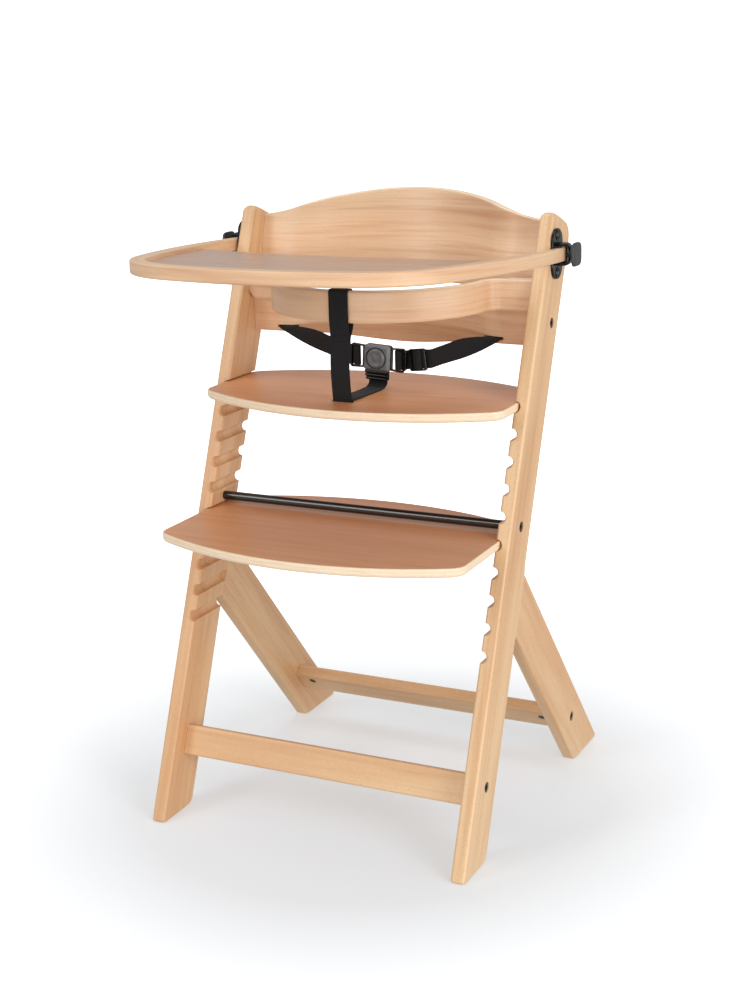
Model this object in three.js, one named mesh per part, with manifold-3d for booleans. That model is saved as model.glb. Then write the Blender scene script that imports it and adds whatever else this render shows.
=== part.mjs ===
// Wooden high chair with two height-adjustable boards, a bent-wood back, a bent safety guard,
// a sliding tray and a three-point harness.
//
// Millimetres. +X is on the right as seen from in front of the chair, +Y points to its back and
// +Z is up. The parts are laid out with the front foot corner of the side planks at y = 0, z = 0;
// the last lines move the chair so that its origin is the centre of its footprint, on the floor.

import * as THREE from 'three';
import { mergeVertices } from 'three/addons/utils/BufferGeometryUtils.js';
import Module from 'manifold-3d';

const wasm = await Module();
wasm.setup();

// ---- driving dimensions -------------------------------------------------------------------

const GAP = 0.3; // between touching pieces
const BORE_SIDES = 10; // facets round a bore or a bolt
const STRAP_STEPS = 4; // facets along a strap, from one stop to the next
const INNER = 206; // half the clear width between the side planks
const PLANK = 19; // thickness of the side planks and rear legs
const OUTER = INNER + PLANK;
const END = INNER - GAP; // where the pieces between the planks stop

const LEAN = THREE.MathUtils.degToRad(21.87); // side planks, backwards from vertical
const UPRIGHT_WIDTH = 68;
const UPRIGHT_LENGTH = 840;
const LEG_LEAN = THREE.MathUtils.degToRad(40.7); // rear legs, forwards from vertical
const LEG_WIDTH = 72;
const LEG_FOOT_Y = 403.9; // front edge of the rear leg at the floor

const SLOT_COUNT = 10;
const SLOT_TOP_Z = 548.5; // centre height of the highest slot
const SLOT_PITCH = 32.34;
const SLOT_RADIUS = 7; // round bottom of a slot
const SLOT_STRAIGHT = 0.5; // straight part of its sides
const SEAT_SLOT = 0;
const FOOTREST_SLOT = 5;

const BOARD = { thickness: 12, halfWidth: 211, roundover: 4, corner: 14 };
const SEAT = { front: 105, frontRadius: 385, back: 355.5, backRadius: 418 };
const FOOTREST = { front: -13, frontRadius: 440, back: 278, backRadius: 475 };
const SEAT_SLIT = { x: -1, y: 159, halfWidth: 16, halfDepth: 4 };

const RAIL = { thickness: 18, height: 40 };
const FRONT_RAIL_S = 113.3; // rail centres, measured up the plank from its foot
const REAR_RAIL_S = 56.5;
const RAIL_BOLT_OFFSET = 6.5; // rail bolts sit this far above the rail's centre

const BOLT = { shank: 3, head: 6.5, headThickness: 4.4, socket: 2.9, socketDepth: 3, clearance: 0.3 };
const BARREL = { radius: 5, length: 14, x: 183 };
const TIE_ROD = { radius: 6, n: 33, s: 446 };

const BACK = { thickness: 12, flat: 168, depth: 52, reverse: 80 };
const UPPER_BACK = { bottom: 678, endTop: 766, crown: 800, crownRadius: 540, lean: 0.23, y: 317.9 };
const LOWER_BACK = { y: 299.3, bottom: 611.5, dip: 14.5, middleTop: 659, earTop: 697 };
const WAIST_SLIT = { leftX: -155, rightX: 146, halfWidth: 15, z: 619, halfHeight: 1.9 };
const SLAT_BOLT = { y: LOWER_BACK.y + BACK.thickness / 2, z: 641.7, shank: 2.5 };

const GUARD = { bottom: 657, top: 697.5, thickness: 12, tabY: 287, radius: 150, front: 139, bend: 15 };
const GUARD_BOLT = { x: 186, z: 678 };

const TRAY = { halfWidth: 240.3, rim: 19, arm: 11.4, bottom: 719, top: 736, armEnd: 362 };
const TRAY_TILT = THREE.MathUtils.degToRad(2.4); // its front edge sits this much higher
const TRAY_SIDE = { radius: 919, y: 260, innerEnd: 200, armStart: 285 };
const TRAY_CORNER_RADIUS = 132;
const TRAY_FRONT = { y: -87, radius: 490 };
const TRAY_PANEL = { bottom: 722, top: 730, tongue: 4, back: 158, backCorner: 190 };
const TRAY_TRAVEL = 30;

const BRACKET = { y: 318, z: 728, halfWidth: 18, halfHeight: 33, plate: 3, loopWidth: 14, bar: 5 };
const LOOP_CLEARANCE = 1.1; // above and below the tray's arm
const BRACKET_SCREW_Z = 24; // above and below the bracket's centre
const BOSS = { radius: 7.5, end: 250.5, pocket: 5.4, wall: 1.6 };
const KNOB = { half: 15.5, corner: 7, thickness: 4.5, pin: 3, collar: 5, reach: 3.5 };

const WEBBING = { waist: 25, centre: 28, thickness: 1.6 };
const BUCKLE = new THREE.Vector3(5, 250, 594);
const BUCKLE_TILT = THREE.MathUtils.degToRad(3.5); // its right end hangs lower than its left
const SHELL = { halfWidth: 19, halfHeight: 18, depth: 7 };
const TONGUE = { length: 22, halfHeight: 16, halfThickness: 2.8 };
const ADJUSTER = { start: 45.5, end: 69.5, halfHeight: 14.5 };

// ---- materials ------------------------------------------------------------------------------

const FINISHES = {
  beech: { color: 0xe3b98f, roughness: 0.45 },
  plywood: { color: 0xc79a78, roughness: 0.4 },
  steel: { color: 0x3a3a3c, roughness: 0.35, metalness: 0.9 },
  blackTube: { color: 0x101010, roughness: 0.2 },
  plastic: { color: 0x18181a, roughness: 0.35 },
  greyPlastic: { color: 0x4b4c50, roughness: 0.4 },
  webbing: { color: 0x1b1a1a, roughness: 0.9 },
};

// ---- helpers --------------------------------------------------------------------------------

const chair = new THREE.Group();

function add(name, geometry, finish) {
  const mesh = new THREE.Mesh(geometry, new THREE.MeshStandardMaterial(FINISHES[finish]));
  mesh.name = name;
  chair.add(mesh);
}

function solidOf(geometry) {
  const bare = geometry.clone();
  bare.deleteAttribute('normal');
  bare.deleteAttribute('uv');
  const merged = mergeVertices(bare, 1e-4);
  return new wasm.Manifold(
    new wasm.Mesh({
      numProp: 3,
      vertProperties: new Float32Array(merged.attributes.position.array),
      triVerts: new Uint32Array(merged.index.array),
    }),
  );
}

function geometryOf(solid) {
  const mesh = solid.getMesh();
  const geometry = new THREE.BufferGeometry();
  geometry.setAttribute('position', new THREE.BufferAttribute(mesh.vertProperties, 3));
  geometry.setIndex(new THREE.BufferAttribute(mesh.triVerts, 1));
  geometry.computeVertexNormals();
  return geometry;
}

function cut(body, tools) {
  return geometryOf(tools.reduce((solid, tool) => solid.subtract(solidOf(tool)), solidOf(body)));
}

function join(pieces) {
  return geometryOf(pieces.map(solidOf).reduce((whole, piece) => whole.add(piece)));
}

function overlap(first, second) {
  return geometryOf(solidOf(first).intersect(solidOf(second)));
}

// Extrusions of a flat outline. The outline's two coordinates are (y, z), (x, z) or (x, y).
function extrude(shape, depth, curveSegments) {
  return new THREE.ExtrudeGeometry(shape, { depth, curveSegments, bevelEnabled: false });
}

function alongX(shape, x0, x1, segments = 4) {
  const turn = new THREE.Matrix4().makeBasis(
    new THREE.Vector3(0, 1, 0),
    new THREE.Vector3(0, 0, 1),
    new THREE.Vector3(1, 0, 0),
  );
  return extrude(shape, x1 - x0, segments).applyMatrix4(turn).translate(x0, 0, 0);
}

function alongY(shape, y0, y1, segments = 4) {
  return extrude(shape, y1 - y0, segments).rotateX(Math.PI / 2).translate(0, y1, 0);
}

function alongZ(shape, z0, z1, segments = 4) {
  return extrude(shape, z1 - z0, segments).translate(0, 0, z0);
}

function boxBetween(low, high) {
  const size = high.map((value, i) => value - low[i]);
  const middle = high.map((value, i) => (value + low[i]) / 2);
  return new THREE.BoxGeometry(...size).translate(...middle);
}

function cylinder(radius, from, to, segments = BORE_SIDES) {
  const start = new THREE.Vector3(...from);
  const axis = new THREE.Vector3(...to).sub(start);
  const turn = new THREE.Quaternion().setFromUnitVectors(
    new THREE.Vector3(0, 1, 0),
    axis.clone().normalize(),
  );
  const middle = start.addScaledVector(axis, 0.5);
  return new THREE.CylinderGeometry(radius, radius, axis.length(), segments)
    .applyQuaternion(turn)
    .translate(middle.x, middle.y, middle.z);
}

// A turned piece whose axis is the line along X at (y, z). Profile points are [radius, x].
function turnedAlongX(profile, y, z, segments = BORE_SIDES) {
  const points = profile.map(([radius, x]) => new THREE.Vector2(radius, x));
  return new THREE.LatheGeometry(points, segments).rotateZ(-Math.PI / 2).translate(0, y, z);
}

function mirrored(geometry) {
  const copy = mergeVertices(geometry.clone().scale(-1, 1, 1));
  const index = copy.index.array;
  for (let i = 0; i < index.length; i += 3) {
    [index[i], index[i + 1]] = [index[i + 1], index[i]];
  }
  copy.computeVertexNormals();
  return copy;
}

// Adds a piece of the +X side as right_NAME and its mirror image as left_NAME.
function addPair(name, geometry, finish) {
  add(`right_${name}`, geometry, finish);
  add(`left_${name}`, mirrored(geometry), finish);
}

// A polygon whose corners [u, v, radius] are rounded with arcs.
function rounded(corners) {
  const shape = new THREE.Shape();
  corners.forEach(([u, v, radius = 0], i) => {
    const corner = new THREE.Vector2(u, v);
    const toLast = new THREE.Vector2(...corners.at(i - 1)).sub(corner).normalize();
    const toNext = new THREE.Vector2(...corners[(i + 1) % corners.length]).sub(corner).normalize();
    const half = Math.acos(toLast.dot(toNext)) / 2;
    const start = corner.clone().addScaledVector(toLast, radius / Math.tan(half));
    if (i === 0) shape.moveTo(start.x, start.y);
    else shape.lineTo(start.x, start.y);
    if (radius === 0) return;
    const end = corner.clone().addScaledVector(toNext, radius / Math.tan(half));
    const centre = toLast.add(toNext).normalize().multiplyScalar(radius / Math.sin(half)).add(corner);
    const from = start.sub(centre).angle();
    const to = end.sub(centre).angle();
    shape.absarc(centre.x, centre.y, radius, from, to, false);
  });
  return shape;
}

function rectangle(u0, v0, u1, v1, radius = 0) {
  return rounded([
    [u0, v0, radius],
    [u1, v0, radius],
    [u1, v1, radius],
    [u0, v1, radius],
  ]);
}

// Points in a plank's own directions: n across it from its front edge, s up along it.
function uprightPoint(n, s) {
  const y = n * Math.cos(LEAN) + s * Math.sin(LEAN);
  const z = s * Math.cos(LEAN) - n * Math.sin(LEAN);
  return [y, z];
}

function legPoint(n, s) {
  const y = LEG_FOOT_Y + n * Math.cos(LEG_LEAN) - s * Math.sin(LEG_LEAN);
  const z = n * Math.sin(LEG_LEAN) + s * Math.cos(LEG_LEAN);
  return [y, z];
}

function slotZ(slot) {
  return SLOT_TOP_Z - slot * SLOT_PITCH;
}

// ---- bolts and pins -------------------------------------------------------------------------

// A socket-head bolt along X, its head at the +X end, sunk just below the plank's outer face.
function boltAlongX([y, z], tip, shank = BOLT.shank) {
  const face = OUTER - GAP;
  const neck = face - BOLT.headThickness;
  const profile = [
    [0, tip],
    [shank, tip],
    [shank, neck],
    [BOLT.head, neck],
    [BOLT.head, face],
    [0, face],
  ];
  const socket = cylinder(BOLT.socket, [face - BOLT.socketDepth, y, z], [face + 1, y, z], 6);
  return cut(turnedAlongX(profile, y, z), [socket]);
}

// The hole that such a bolt needs in a plank: a through hole and a counterbore for the head.
function boltHole([y, z], shank = BOLT.shank) {
  const profile = [
    [0, INNER - 1],
    [shank + BOLT.clearance, INNER - 1],
    [shank + BOLT.clearance, OUTER - GAP - BOLT.headThickness - GAP],
    [BOLT.head + BOLT.clearance, OUTER - GAP - BOLT.headThickness - GAP],
    [BOLT.head + BOLT.clearance, OUTER + 1],
    [0, OUTER + 1],
  ];
  return turnedAlongX(profile, y, z);
}

const FRONT_RAIL_BOLT = uprightPoint(UPRIGHT_WIDTH / 2, FRONT_RAIL_S + RAIL_BOLT_OFFSET);
const REAR_RAIL_BOLT = legPoint(LEG_WIDTH / 2, REAR_RAIL_S + RAIL_BOLT_OFFSET);
const TIE_ROD_CENTRE = uprightPoint(TIE_ROD.n, TIE_ROD.s);
const SLAT_BOLT_CENTRE = [SLAT_BOLT.y, SLAT_BOLT.z];

// Wooden dowels between each side plank and its rear leg, across the slanted joint.
const LEG_DOWEL = { radius: 3.5, x: 218.5, from: 54, to: 84 };
const LEG_DOWELS = { lower: 332, upper: 368 };

function legDowel(s, radius = LEG_DOWEL.radius, extra = 0) {
  const start = [LEG_DOWEL.x, ...uprightPoint(LEG_DOWEL.from - extra, s)];
  const end = [LEG_DOWEL.x, ...uprightPoint(LEG_DOWEL.to + extra, s)];
  return cylinder(radius, start, end, 8);
}

// Dowels that hold the upper back between the planks.
const BACK_DOWEL = { radius: 3, from: 194, to: 215 };
const BACK_DOWELS = { lower: 700, upper: 745 };

function upperBackY(z) {
  return UPPER_BACK.y + UPPER_BACK.lean * (z - UPPER_BACK.bottom);
}

function backDowel(z, radius = BACK_DOWEL.radius, extra = 0) {
  const y = upperBackY(z) + BACK.thickness / 2;
  return cylinder(radius, [BACK_DOWEL.from - extra, y, z], [BACK_DOWEL.to + extra, y, z], 8);
}

// ---- frame ----------------------------------------------------------------------------------

// A slot runs level from the front edge of the plank to its back edge.
function slotCutter(slot) {
  const z = slotZ(slot);
  const centre = INNER + SLOT_STRAIGHT;
  const shape = new THREE.Shape();
  shape.moveTo(INNER - 1, z - SLOT_RADIUS);
  shape.lineTo(centre, z - SLOT_RADIUS);
  shape.absarc(centre, z, SLOT_RADIUS, -Math.PI / 2, Math.PI / 2, false);
  shape.lineTo(INNER - 1, z + SLOT_RADIUS);
  const front = z * Math.tan(LEAN);
  return alongY(shape, front - 10, front + UPRIGHT_WIDTH / Math.cos(LEAN) + 10, 6);
}

function uprightOutline() {
  return rounded([
    [0, 0, 3],
    [UPRIGHT_WIDTH / Math.cos(LEAN), 0, 14],
    [...uprightPoint(UPRIGHT_WIDTH, UPRIGHT_LENGTH), 20],
    [...uprightPoint(0, UPRIGHT_LENGTH), 10],
  ]);
}

function bracketScrewCentres() {
  return [BRACKET.z - BRACKET_SCREW_Z, BRACKET.z + BRACKET_SCREW_Z];
}

function upright() {
  const holes = [
    boltHole(FRONT_RAIL_BOLT),
    boltHole(TIE_ROD_CENTRE),
    boltHole(SLAT_BOLT_CENTRE, SLAT_BOLT.shank),
    ...Object.values(LEG_DOWELS).map((s) => legDowel(s, LEG_DOWEL.radius + GAP, GAP)),
    ...Object.values(BACK_DOWELS).map((z) => backDowel(z, BACK_DOWEL.radius + GAP, GAP)),
    ...bracketScrewCentres().map((z) => bracketScrewHole(z)),
  ];
  const slots = Array.from({ length: SLOT_COUNT }, (_, slot) => slotCutter(slot));
  return cut(alongX(uprightOutline(), INNER, OUTER), [...slots, ...holes]);
}

// The rear leg's upper end is cut to lie flat on the back edge of the side plank.
function rearLeg() {
  const footDepth = LEG_WIDTH / Math.cos(LEG_LEAN);
  const plankBack = (UPRIGHT_WIDTH + GAP) / Math.cos(LEAN);
  const closing = Math.tan(LEAN) + Math.tan(LEG_LEAN);
  const meetZ = (edge) => (edge - plankBack) / closing;
  const meet = (edge) => [plankBack + meetZ(edge) * Math.tan(LEAN), meetZ(edge)];
  const outline = rounded([
    [LEG_FOOT_Y, 0, 3],
    [LEG_FOOT_Y + footDepth, 0, 3],
    [...meet(LEG_FOOT_Y + footDepth), 0],
    [...meet(LEG_FOOT_Y), 0],
  ]);
  const dowelHoles = Object.values(LEG_DOWELS).map((s) => legDowel(s, LEG_DOWEL.radius + GAP, GAP));
  return cut(alongX(outline, INNER, OUTER), [boltHole(REAR_RAIL_BOLT), ...dowelHoles]);
}

// A rail between two planks, with a bolt hole in each end and a cross hole for its barrel nut.
// side is +1 when the barrel nuts go in from the back face and -1 when from the front face.
function rail(point, width, centreS, boltCentre, side) {
  const front = (width - RAIL.thickness) / 2;
  const back = front + RAIL.thickness;
  const low = centreS - RAIL.height / 2;
  const high = centreS + RAIL.height / 2;
  const outline = rounded([
    [...point(front, low), 2],
    [...point(back, low), 2],
    [...point(back, high), 2],
    [...point(front, high), 2],
  ]);
  const holes = [-1, 1].flatMap((end) => [
    cylinder(BOLT.shank + BOLT.clearance, [end * 174, ...boltCentre], [end * INNER, ...boltCentre]),
    barrelCylinder(point, width, centreS, side, end, BARREL.radius + GAP, GAP, 2),
  ]);
  return cut(alongX(outline, -END, END, 3), holes);
}

function barrelCylinder(point, width, centreS, side, end, radius, inward = 0, outward = 0) {
  const s = centreS + RAIL_BOLT_OFFSET;
  const mouth = width / 2 + side * (RAIL.thickness / 2 - GAP + outward);
  const bottom = width / 2 + side * (RAIL.thickness / 2 - GAP - BARREL.length - inward);
  const x = end * BARREL.x;
  return cylinder(radius, [x, ...point(bottom, s)], [x, ...point(mouth, s)]);
}

function barrelNut(point, width, centreS, boltCentre, side, end) {
  const body = barrelCylinder(point, width, centreS, side, end, BARREL.radius);
  const from = [end * (BARREL.x - 10), ...boltCentre];
  const to = [end * (BARREL.x + 10), ...boltCentre];
  return cut(body, [cylinder(BOLT.shank + BOLT.clearance, from, to)]);
}

function addFrame() {
  addPair('upright', upright(), 'beech');
  addPair('rear_leg', rearLeg(), 'beech');
  const rails = [
    ['front_rail', uprightPoint, UPRIGHT_WIDTH, FRONT_RAIL_S, FRONT_RAIL_BOLT, 1],
    ['rear_rail', legPoint, LEG_WIDTH, REAR_RAIL_S, REAR_RAIL_BOLT, -1],
  ];
  for (const [name, point, width, centreS, boltCentre, side] of rails) {
    add(name, rail(point, width, centreS, boltCentre, side), 'beech');
    const nut = barrelNut(point, width, centreS, boltCentre, side, 1);
    addPair(`${name}_barrel_nut`, nut, 'steel');
    addPair(`${name}_bolt`, boltAlongX(boltCentre, 176), 'steel');
  }
  for (const [place, s] of Object.entries(LEG_DOWELS)) {
    addPair(`leg_dowel_${place}`, legDowel(s), 'beech');
  }
}

function addTieRod() {
  const [y, z] = TIE_ROD_CENTRE;
  const tube = cylinder(TIE_ROD.radius, [-END, y, z], [END, y, z], 20);
  const bores = [-1, 1].map((end) =>
    cylinder(BOLT.shank + BOLT.clearance, [end * 188, y, z], [end * INNER, y, z]),
  );
  add('tie_rod', cut(tube, bores), 'blackTube');
  addPair('tie_rod_bolt', boltAlongX(TIE_ROD_CENTRE, 190), 'steel');
}

// ---- boards ---------------------------------------------------------------------------------

// A board's plan: an arc in front, an arc behind, straight sides that lie in the slots.
function boardOutline({ front, frontRadius, back, backRadius }) {
  const { halfWidth, corner } = BOARD;
  const inset = halfWidth - corner;
  const frontY = (x) => front + frontRadius - Math.sqrt(frontRadius ** 2 - x ** 2);
  const backY = (x) => back - backRadius + Math.sqrt(backRadius ** 2 - x ** 2);
  const frontAngle = Math.asin(inset / frontRadius);
  const backAngle = Math.asin(inset / backRadius);
  const down = -Math.PI / 2;
  const up = Math.PI / 2;
  const shape = new THREE.Shape();
  shape.absarc(0, front + frontRadius, frontRadius, down - frontAngle, down + frontAngle, false);
  shape.quadraticCurveTo(halfWidth, frontY(halfWidth), halfWidth, frontY(halfWidth) + corner);
  shape.lineTo(halfWidth, backY(halfWidth) - corner);
  shape.quadraticCurveTo(halfWidth, backY(halfWidth), inset, backY(inset));
  shape.absarc(0, back - backRadius, backRadius, up - backAngle, up + backAngle, false);
  shape.quadraticCurveTo(-halfWidth, backY(halfWidth), -halfWidth, backY(halfWidth) - corner);
  shape.lineTo(-halfWidth, frontY(halfWidth) + corner);
  shape.quadraticCurveTo(-halfWidth, frontY(halfWidth), -inset, frontY(inset));
  return shape;
}

function board(plan, slot) {
  const { thickness, roundover } = BOARD;
  const bottom = slotZ(slot) - SLOT_RADIUS + GAP;
  return new THREE.ExtrudeGeometry(boardOutline(plan), {
    depth: thickness - 2 * roundover,
    bevelThickness: roundover,
    bevelSize: roundover,
    bevelOffset: -roundover,
    bevelSegments: 1,
    curveSegments: 10,
  }).translate(0, 0, bottom + roundover);
}

function addBoards() {
  const { x, y, halfWidth, halfDepth } = SEAT_SLIT;
  const slit = boxBetween([x - halfWidth, y - halfDepth, 500], [x + halfWidth, y + halfDepth, 600]);
  add('seat_board', cut(board(SEAT, SEAT_SLOT), [slit]), 'plywood');
  add('footrest_board', cut(board(FOOTREST, FOOTREST_SLOT), []), 'plywood');
}

// ---- back -----------------------------------------------------------------------------------

// The back's plan: flat ends, then a reverse bend into one wide hollow curve. y is the front
// face of the flat ends.
function backPlan(y) {
  const { thickness, flat, depth, reverse } = BACK;
  const radii = (flat ** 2 + depth ** 2) / (2 * depth);
  const bend = Math.asin(flat / radii);
  const main = radii - reverse;
  const mainY = y + depth - main;
  const down = -Math.PI / 2;
  const up = Math.PI / 2;
  const shape = new THREE.Shape();
  shape.moveTo(-END, y);
  shape.absarc(-flat, y + reverse, reverse, down, down + bend, false);
  shape.absarc(0, mainY, main, up + bend, up - bend, true);
  shape.absarc(flat, y + reverse, reverse, down - bend, down, false);
  shape.lineTo(END, y);
  shape.lineTo(END, y + thickness);
  shape.absarc(flat, y + reverse, reverse - thickness, down, down - bend, true);
  shape.absarc(0, mainY, main + thickness, up - bend, up + bend, false);
  shape.absarc(-flat, y + reverse, reverse - thickness, down + bend, down, true);
  shape.lineTo(-END, y + thickness);
  return shape;
}

// The upper back's face: a low crown that flares into its lower ends.
function upperBackFace() {
  const { bottom, endTop, crown, crownRadius } = UPPER_BACK;
  const arcEnd = 165;
  const crownZ = (x) => crown - crownRadius + Math.sqrt(crownRadius ** 2 - x ** 2);
  const angle = Math.asin(arcEnd / crownRadius);
  const slope = Math.tan(angle);
  const shape = new THREE.Shape();
  shape.moveTo(-INNER, bottom);
  shape.lineTo(INNER, bottom);
  shape.lineTo(INNER, endTop);
  const knee = arcEnd + (crownZ(arcEnd) - endTop) / slope / 2;
  const kneeZ = crownZ(arcEnd) - (knee - arcEnd) * slope;
  shape.quadraticCurveTo(knee, kneeZ, arcEnd, crownZ(arcEnd));
  shape.absarc(0, crown - crownRadius, crownRadius, Math.PI / 2 - angle, Math.PI / 2 + angle, false);
  shape.quadraticCurveTo(-knee, kneeZ, -INNER, endTop);
  return shape;
}

function upperBack() {
  const { bottom, crown, lean, y } = UPPER_BACK;
  const tilt = new THREE.Matrix4().makeShear(0, 0, 0, 0, 0, lean);
  const sheet = alongZ(backPlan(y - lean * bottom), 0, crown + 20, 8);
  sheet.applyMatrix4(tilt);
  const panel = overlap(sheet, alongY(upperBackFace(), 200, 500, 10));
  return cut(panel, dowelBores());
}

function dowelBores() {
  return Object.values(BACK_DOWELS).flatMap((z) => {
    const bore = backDowel(z, BACK_DOWEL.radius + GAP, GAP);
    return [bore, mirrored(bore)];
  });
}

// The lower back's face: a dipped lower edge, and ears that carry the guard rail's tabs.
function lowerBackFace() {
  const { bottom, dip, middleTop, earTop } = LOWER_BACK;
  const ear = 166;
  const dipEnd = 160;
  const shape = new THREE.Shape();
  shape.moveTo(-INNER, bottom);
  shape.lineTo(-dipEnd, bottom);
  shape.bezierCurveTo(-110, bottom, -90, bottom - dip, 0, bottom - dip);
  shape.bezierCurveTo(90, bottom - dip, 110, bottom, dipEnd, bottom);
  shape.lineTo(INNER, bottom);
  shape.lineTo(INNER, earTop);
  shape.lineTo(ear + 6, earTop);
  shape.quadraticCurveTo(ear, earTop, ear, earTop - 6);
  shape.bezierCurveTo(ear, middleTop + 10, ear - 10, middleTop, ear - 30, middleTop);
  shape.lineTo(-ear + 30, middleTop);
  shape.bezierCurveTo(-ear + 10, middleTop, -ear, middleTop + 10, -ear, earTop - 6);
  shape.quadraticCurveTo(-ear, earTop, -ear - 6, earTop);
  shape.lineTo(-INNER, earTop);
  return shape;
}

function guardBoltBore(x, fromY) {
  const { z } = GUARD_BOLT;
  return cylinder(SLAT_BOLT.shank + GAP, [x, fromY, z], [x, LOWER_BACK.y + 30, z], BORE_SIDES);
}

function lowerBack() {
  const { leftX, rightX, halfWidth, z, halfHeight } = WAIST_SLIT;
  const slits = [leftX, rightX].map((middle) =>
    boxBetween([middle - halfWidth, 290, z - halfHeight], [middle + halfWidth, 340, z + halfHeight]),
  );
  const bores = [-1, 1].flatMap((end) => [
    cylinder(SLAT_BOLT.shank + GAP, [end * 178, ...SLAT_BOLT_CENTRE], [end * INNER, ...SLAT_BOLT_CENTRE]),
    guardBoltBore(end * GUARD_BOLT.x, LOWER_BACK.y - 5),
  ]);
  const sheet = alongZ(backPlan(LOWER_BACK.y), 580, 720, 8);
  return cut(overlap(sheet, alongY(lowerBackFace(), 280, 380, 6)), [...slits, ...bores]);
}

function addBack() {
  add('upper_back', upperBack(), 'beech');
  add('lower_back', lowerBack(), 'beech');
  addPair('lower_back_bolt', boltAlongX(SLAT_BOLT_CENTRE, 180, SLAT_BOLT.shank), 'steel');
  for (const [place, z] of Object.entries(BACK_DOWELS)) {
    addPair(`back_dowel_${place}`, backDowel(z), 'beech');
  }
}

// ---- guard rail -----------------------------------------------------------------------------

// The guard's plan: a half circle in front of the sitter, bent outwards into a tab at each end.
function guardPlan() {
  const { thickness, tabY, radius, front, bend } = GUARD;
  const centreY = front + radius;
  const bendY = tabY - bend;
  const drop = centreY - bendY;
  const bendX = Math.sqrt((radius + bend) ** 2 - drop ** 2);
  const tilt = Math.asin(drop / (radius + bend));
  const up = Math.PI / 2;
  const leftContact = Math.PI + tilt;
  const rightContact = 2 * Math.PI - tilt;
  const shape = new THREE.Shape();
  shape.moveTo(-END, tabY);
  shape.absarc(-bendX, bendY, bend, up, tilt, true);
  shape.absarc(0, centreY, radius, leftContact, rightContact, false);
  shape.absarc(bendX, bendY, bend, Math.PI - tilt, up, true);
  shape.lineTo(END, tabY);
  shape.lineTo(END, tabY + thickness);
  shape.absarc(bendX, bendY, bend + thickness, up, Math.PI - tilt, false);
  shape.absarc(0, centreY, radius - thickness, rightContact, leftContact, true);
  shape.absarc(-bendX, bendY, bend + thickness, tilt, up, false);
  shape.lineTo(-END, tabY + thickness);
  return shape;
}

function addGuard() {
  const { x, z } = GUARD_BOLT;
  const blindEnd = GUARD.tabY + 3;
  const bores = [-x, x].map((middle) => guardBoltBore(middle, blindEnd));
  add('guard_rail', cut(alongZ(guardPlan(), GUARD.bottom, GUARD.top, 12), bores), 'beech');
  const headY = LOWER_BACK.y + BACK.thickness + GAP;
  const shank = cylinder(SLAT_BOLT.shank, [x, blindEnd + GAP, z], [x, headY + 1, z]);
  const head = cylinder(6, [x, headY, z], [x, headY + 3, z]);
  const socket = cylinder(2, [x, headY + 1, z], [x, headY + 4, z], 6);
  addPair('guard_bolt', cut(join([shank, head]), [socket]), 'steel');
}

// ---- tray -----------------------------------------------------------------------------------

// The tray's outline is three circles on each side: a wide one along the side, the corner, and
// one across the front. Insets keep their centres.
const TRAY_SIDE_CENTRE = [TRAY.halfWidth - TRAY_SIDE.radius, TRAY_SIDE.y];
const TRAY_FRONT_CENTRE = [0, TRAY_FRONT.y + TRAY_FRONT.radius];
const TRAY_CORNER_CENTRE = touchingCentre(
  TRAY_SIDE_CENTRE,
  TRAY_SIDE.radius - TRAY_CORNER_RADIUS,
  TRAY_FRONT_CENTRE,
  TRAY_FRONT.radius - TRAY_CORNER_RADIUS,
);

// Where two circles meet, on the side of their centre line towards the tray's front corner.
function touchingCentre([ax, ay], reachA, [bx, by], reachB) {
  const apart = Math.hypot(bx - ax, by - ay);
  const along = (reachA ** 2 - reachB ** 2 + apart ** 2) / (2 * apart);
  const aside = Math.sqrt(reachA ** 2 - along ** 2);
  const ux = (bx - ax) / apart;
  const uy = (by - ay) / apart;
  return [ax + ux * along + uy * aside, ay + uy * along - ux * aside];
}

// The tray's edge at a distance inside its outline, from its right side at startY to its left.
function trayEdge(path, inset, startY, backwards = false) {
  const [sideX, sideY] = TRAY_SIDE_CENTRE;
  const [cornerX, cornerY] = TRAY_CORNER_CENTRE;
  const [frontX, frontY] = TRAY_FRONT_CENTRE;
  const side = TRAY_SIDE.radius - inset;
  const corner = TRAY_CORNER_RADIUS - inset;
  const start = Math.asin((startY - sideY) / side);
  const cornerStart = Math.atan2(cornerY - sideY, cornerX - sideX);
  const cornerEnd = Math.atan2(cornerY - frontY, cornerX - frontX);
  const arcs = [
    [sideX, sideY, side, start, cornerStart],
    [cornerX, cornerY, corner, cornerStart, cornerEnd],
    [frontX, frontY, TRAY_FRONT.radius - inset, cornerEnd, -Math.PI - cornerEnd],
    [-cornerX, cornerY, corner, -Math.PI - cornerEnd, -Math.PI - cornerStart],
    [-sideX, sideY, side, -Math.PI - cornerStart, -Math.PI - start],
  ];
  if (backwards) arcs.reverse();
  for (const [cx, cy, r, from, to] of arcs) {
    if (backwards) path.absarc(cx, cy, r, to, from, false);
    else path.absarc(cx, cy, r, from, to, true);
  }
}

// Each arm narrows towards the back, to pass between the plank and the bracket's loop.
function trayRimPlan() {
  const { halfWidth, rim, arm, armEnd } = TRAY;
  const { innerEnd, armStart, y } = TRAY_SIDE;
  const shape = new THREE.Shape();
  shape.moveTo(halfWidth, armEnd);
  trayEdge(shape, 0, y);
  shape.lineTo(-halfWidth, armEnd);
  shape.lineTo(arm - halfWidth, armEnd);
  shape.lineTo(arm - halfWidth, armStart);
  trayEdge(shape, rim, innerEnd, true);
  shape.lineTo(halfWidth - arm, armStart);
  shape.lineTo(halfWidth - arm, armEnd);
  return shape;
}

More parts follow.
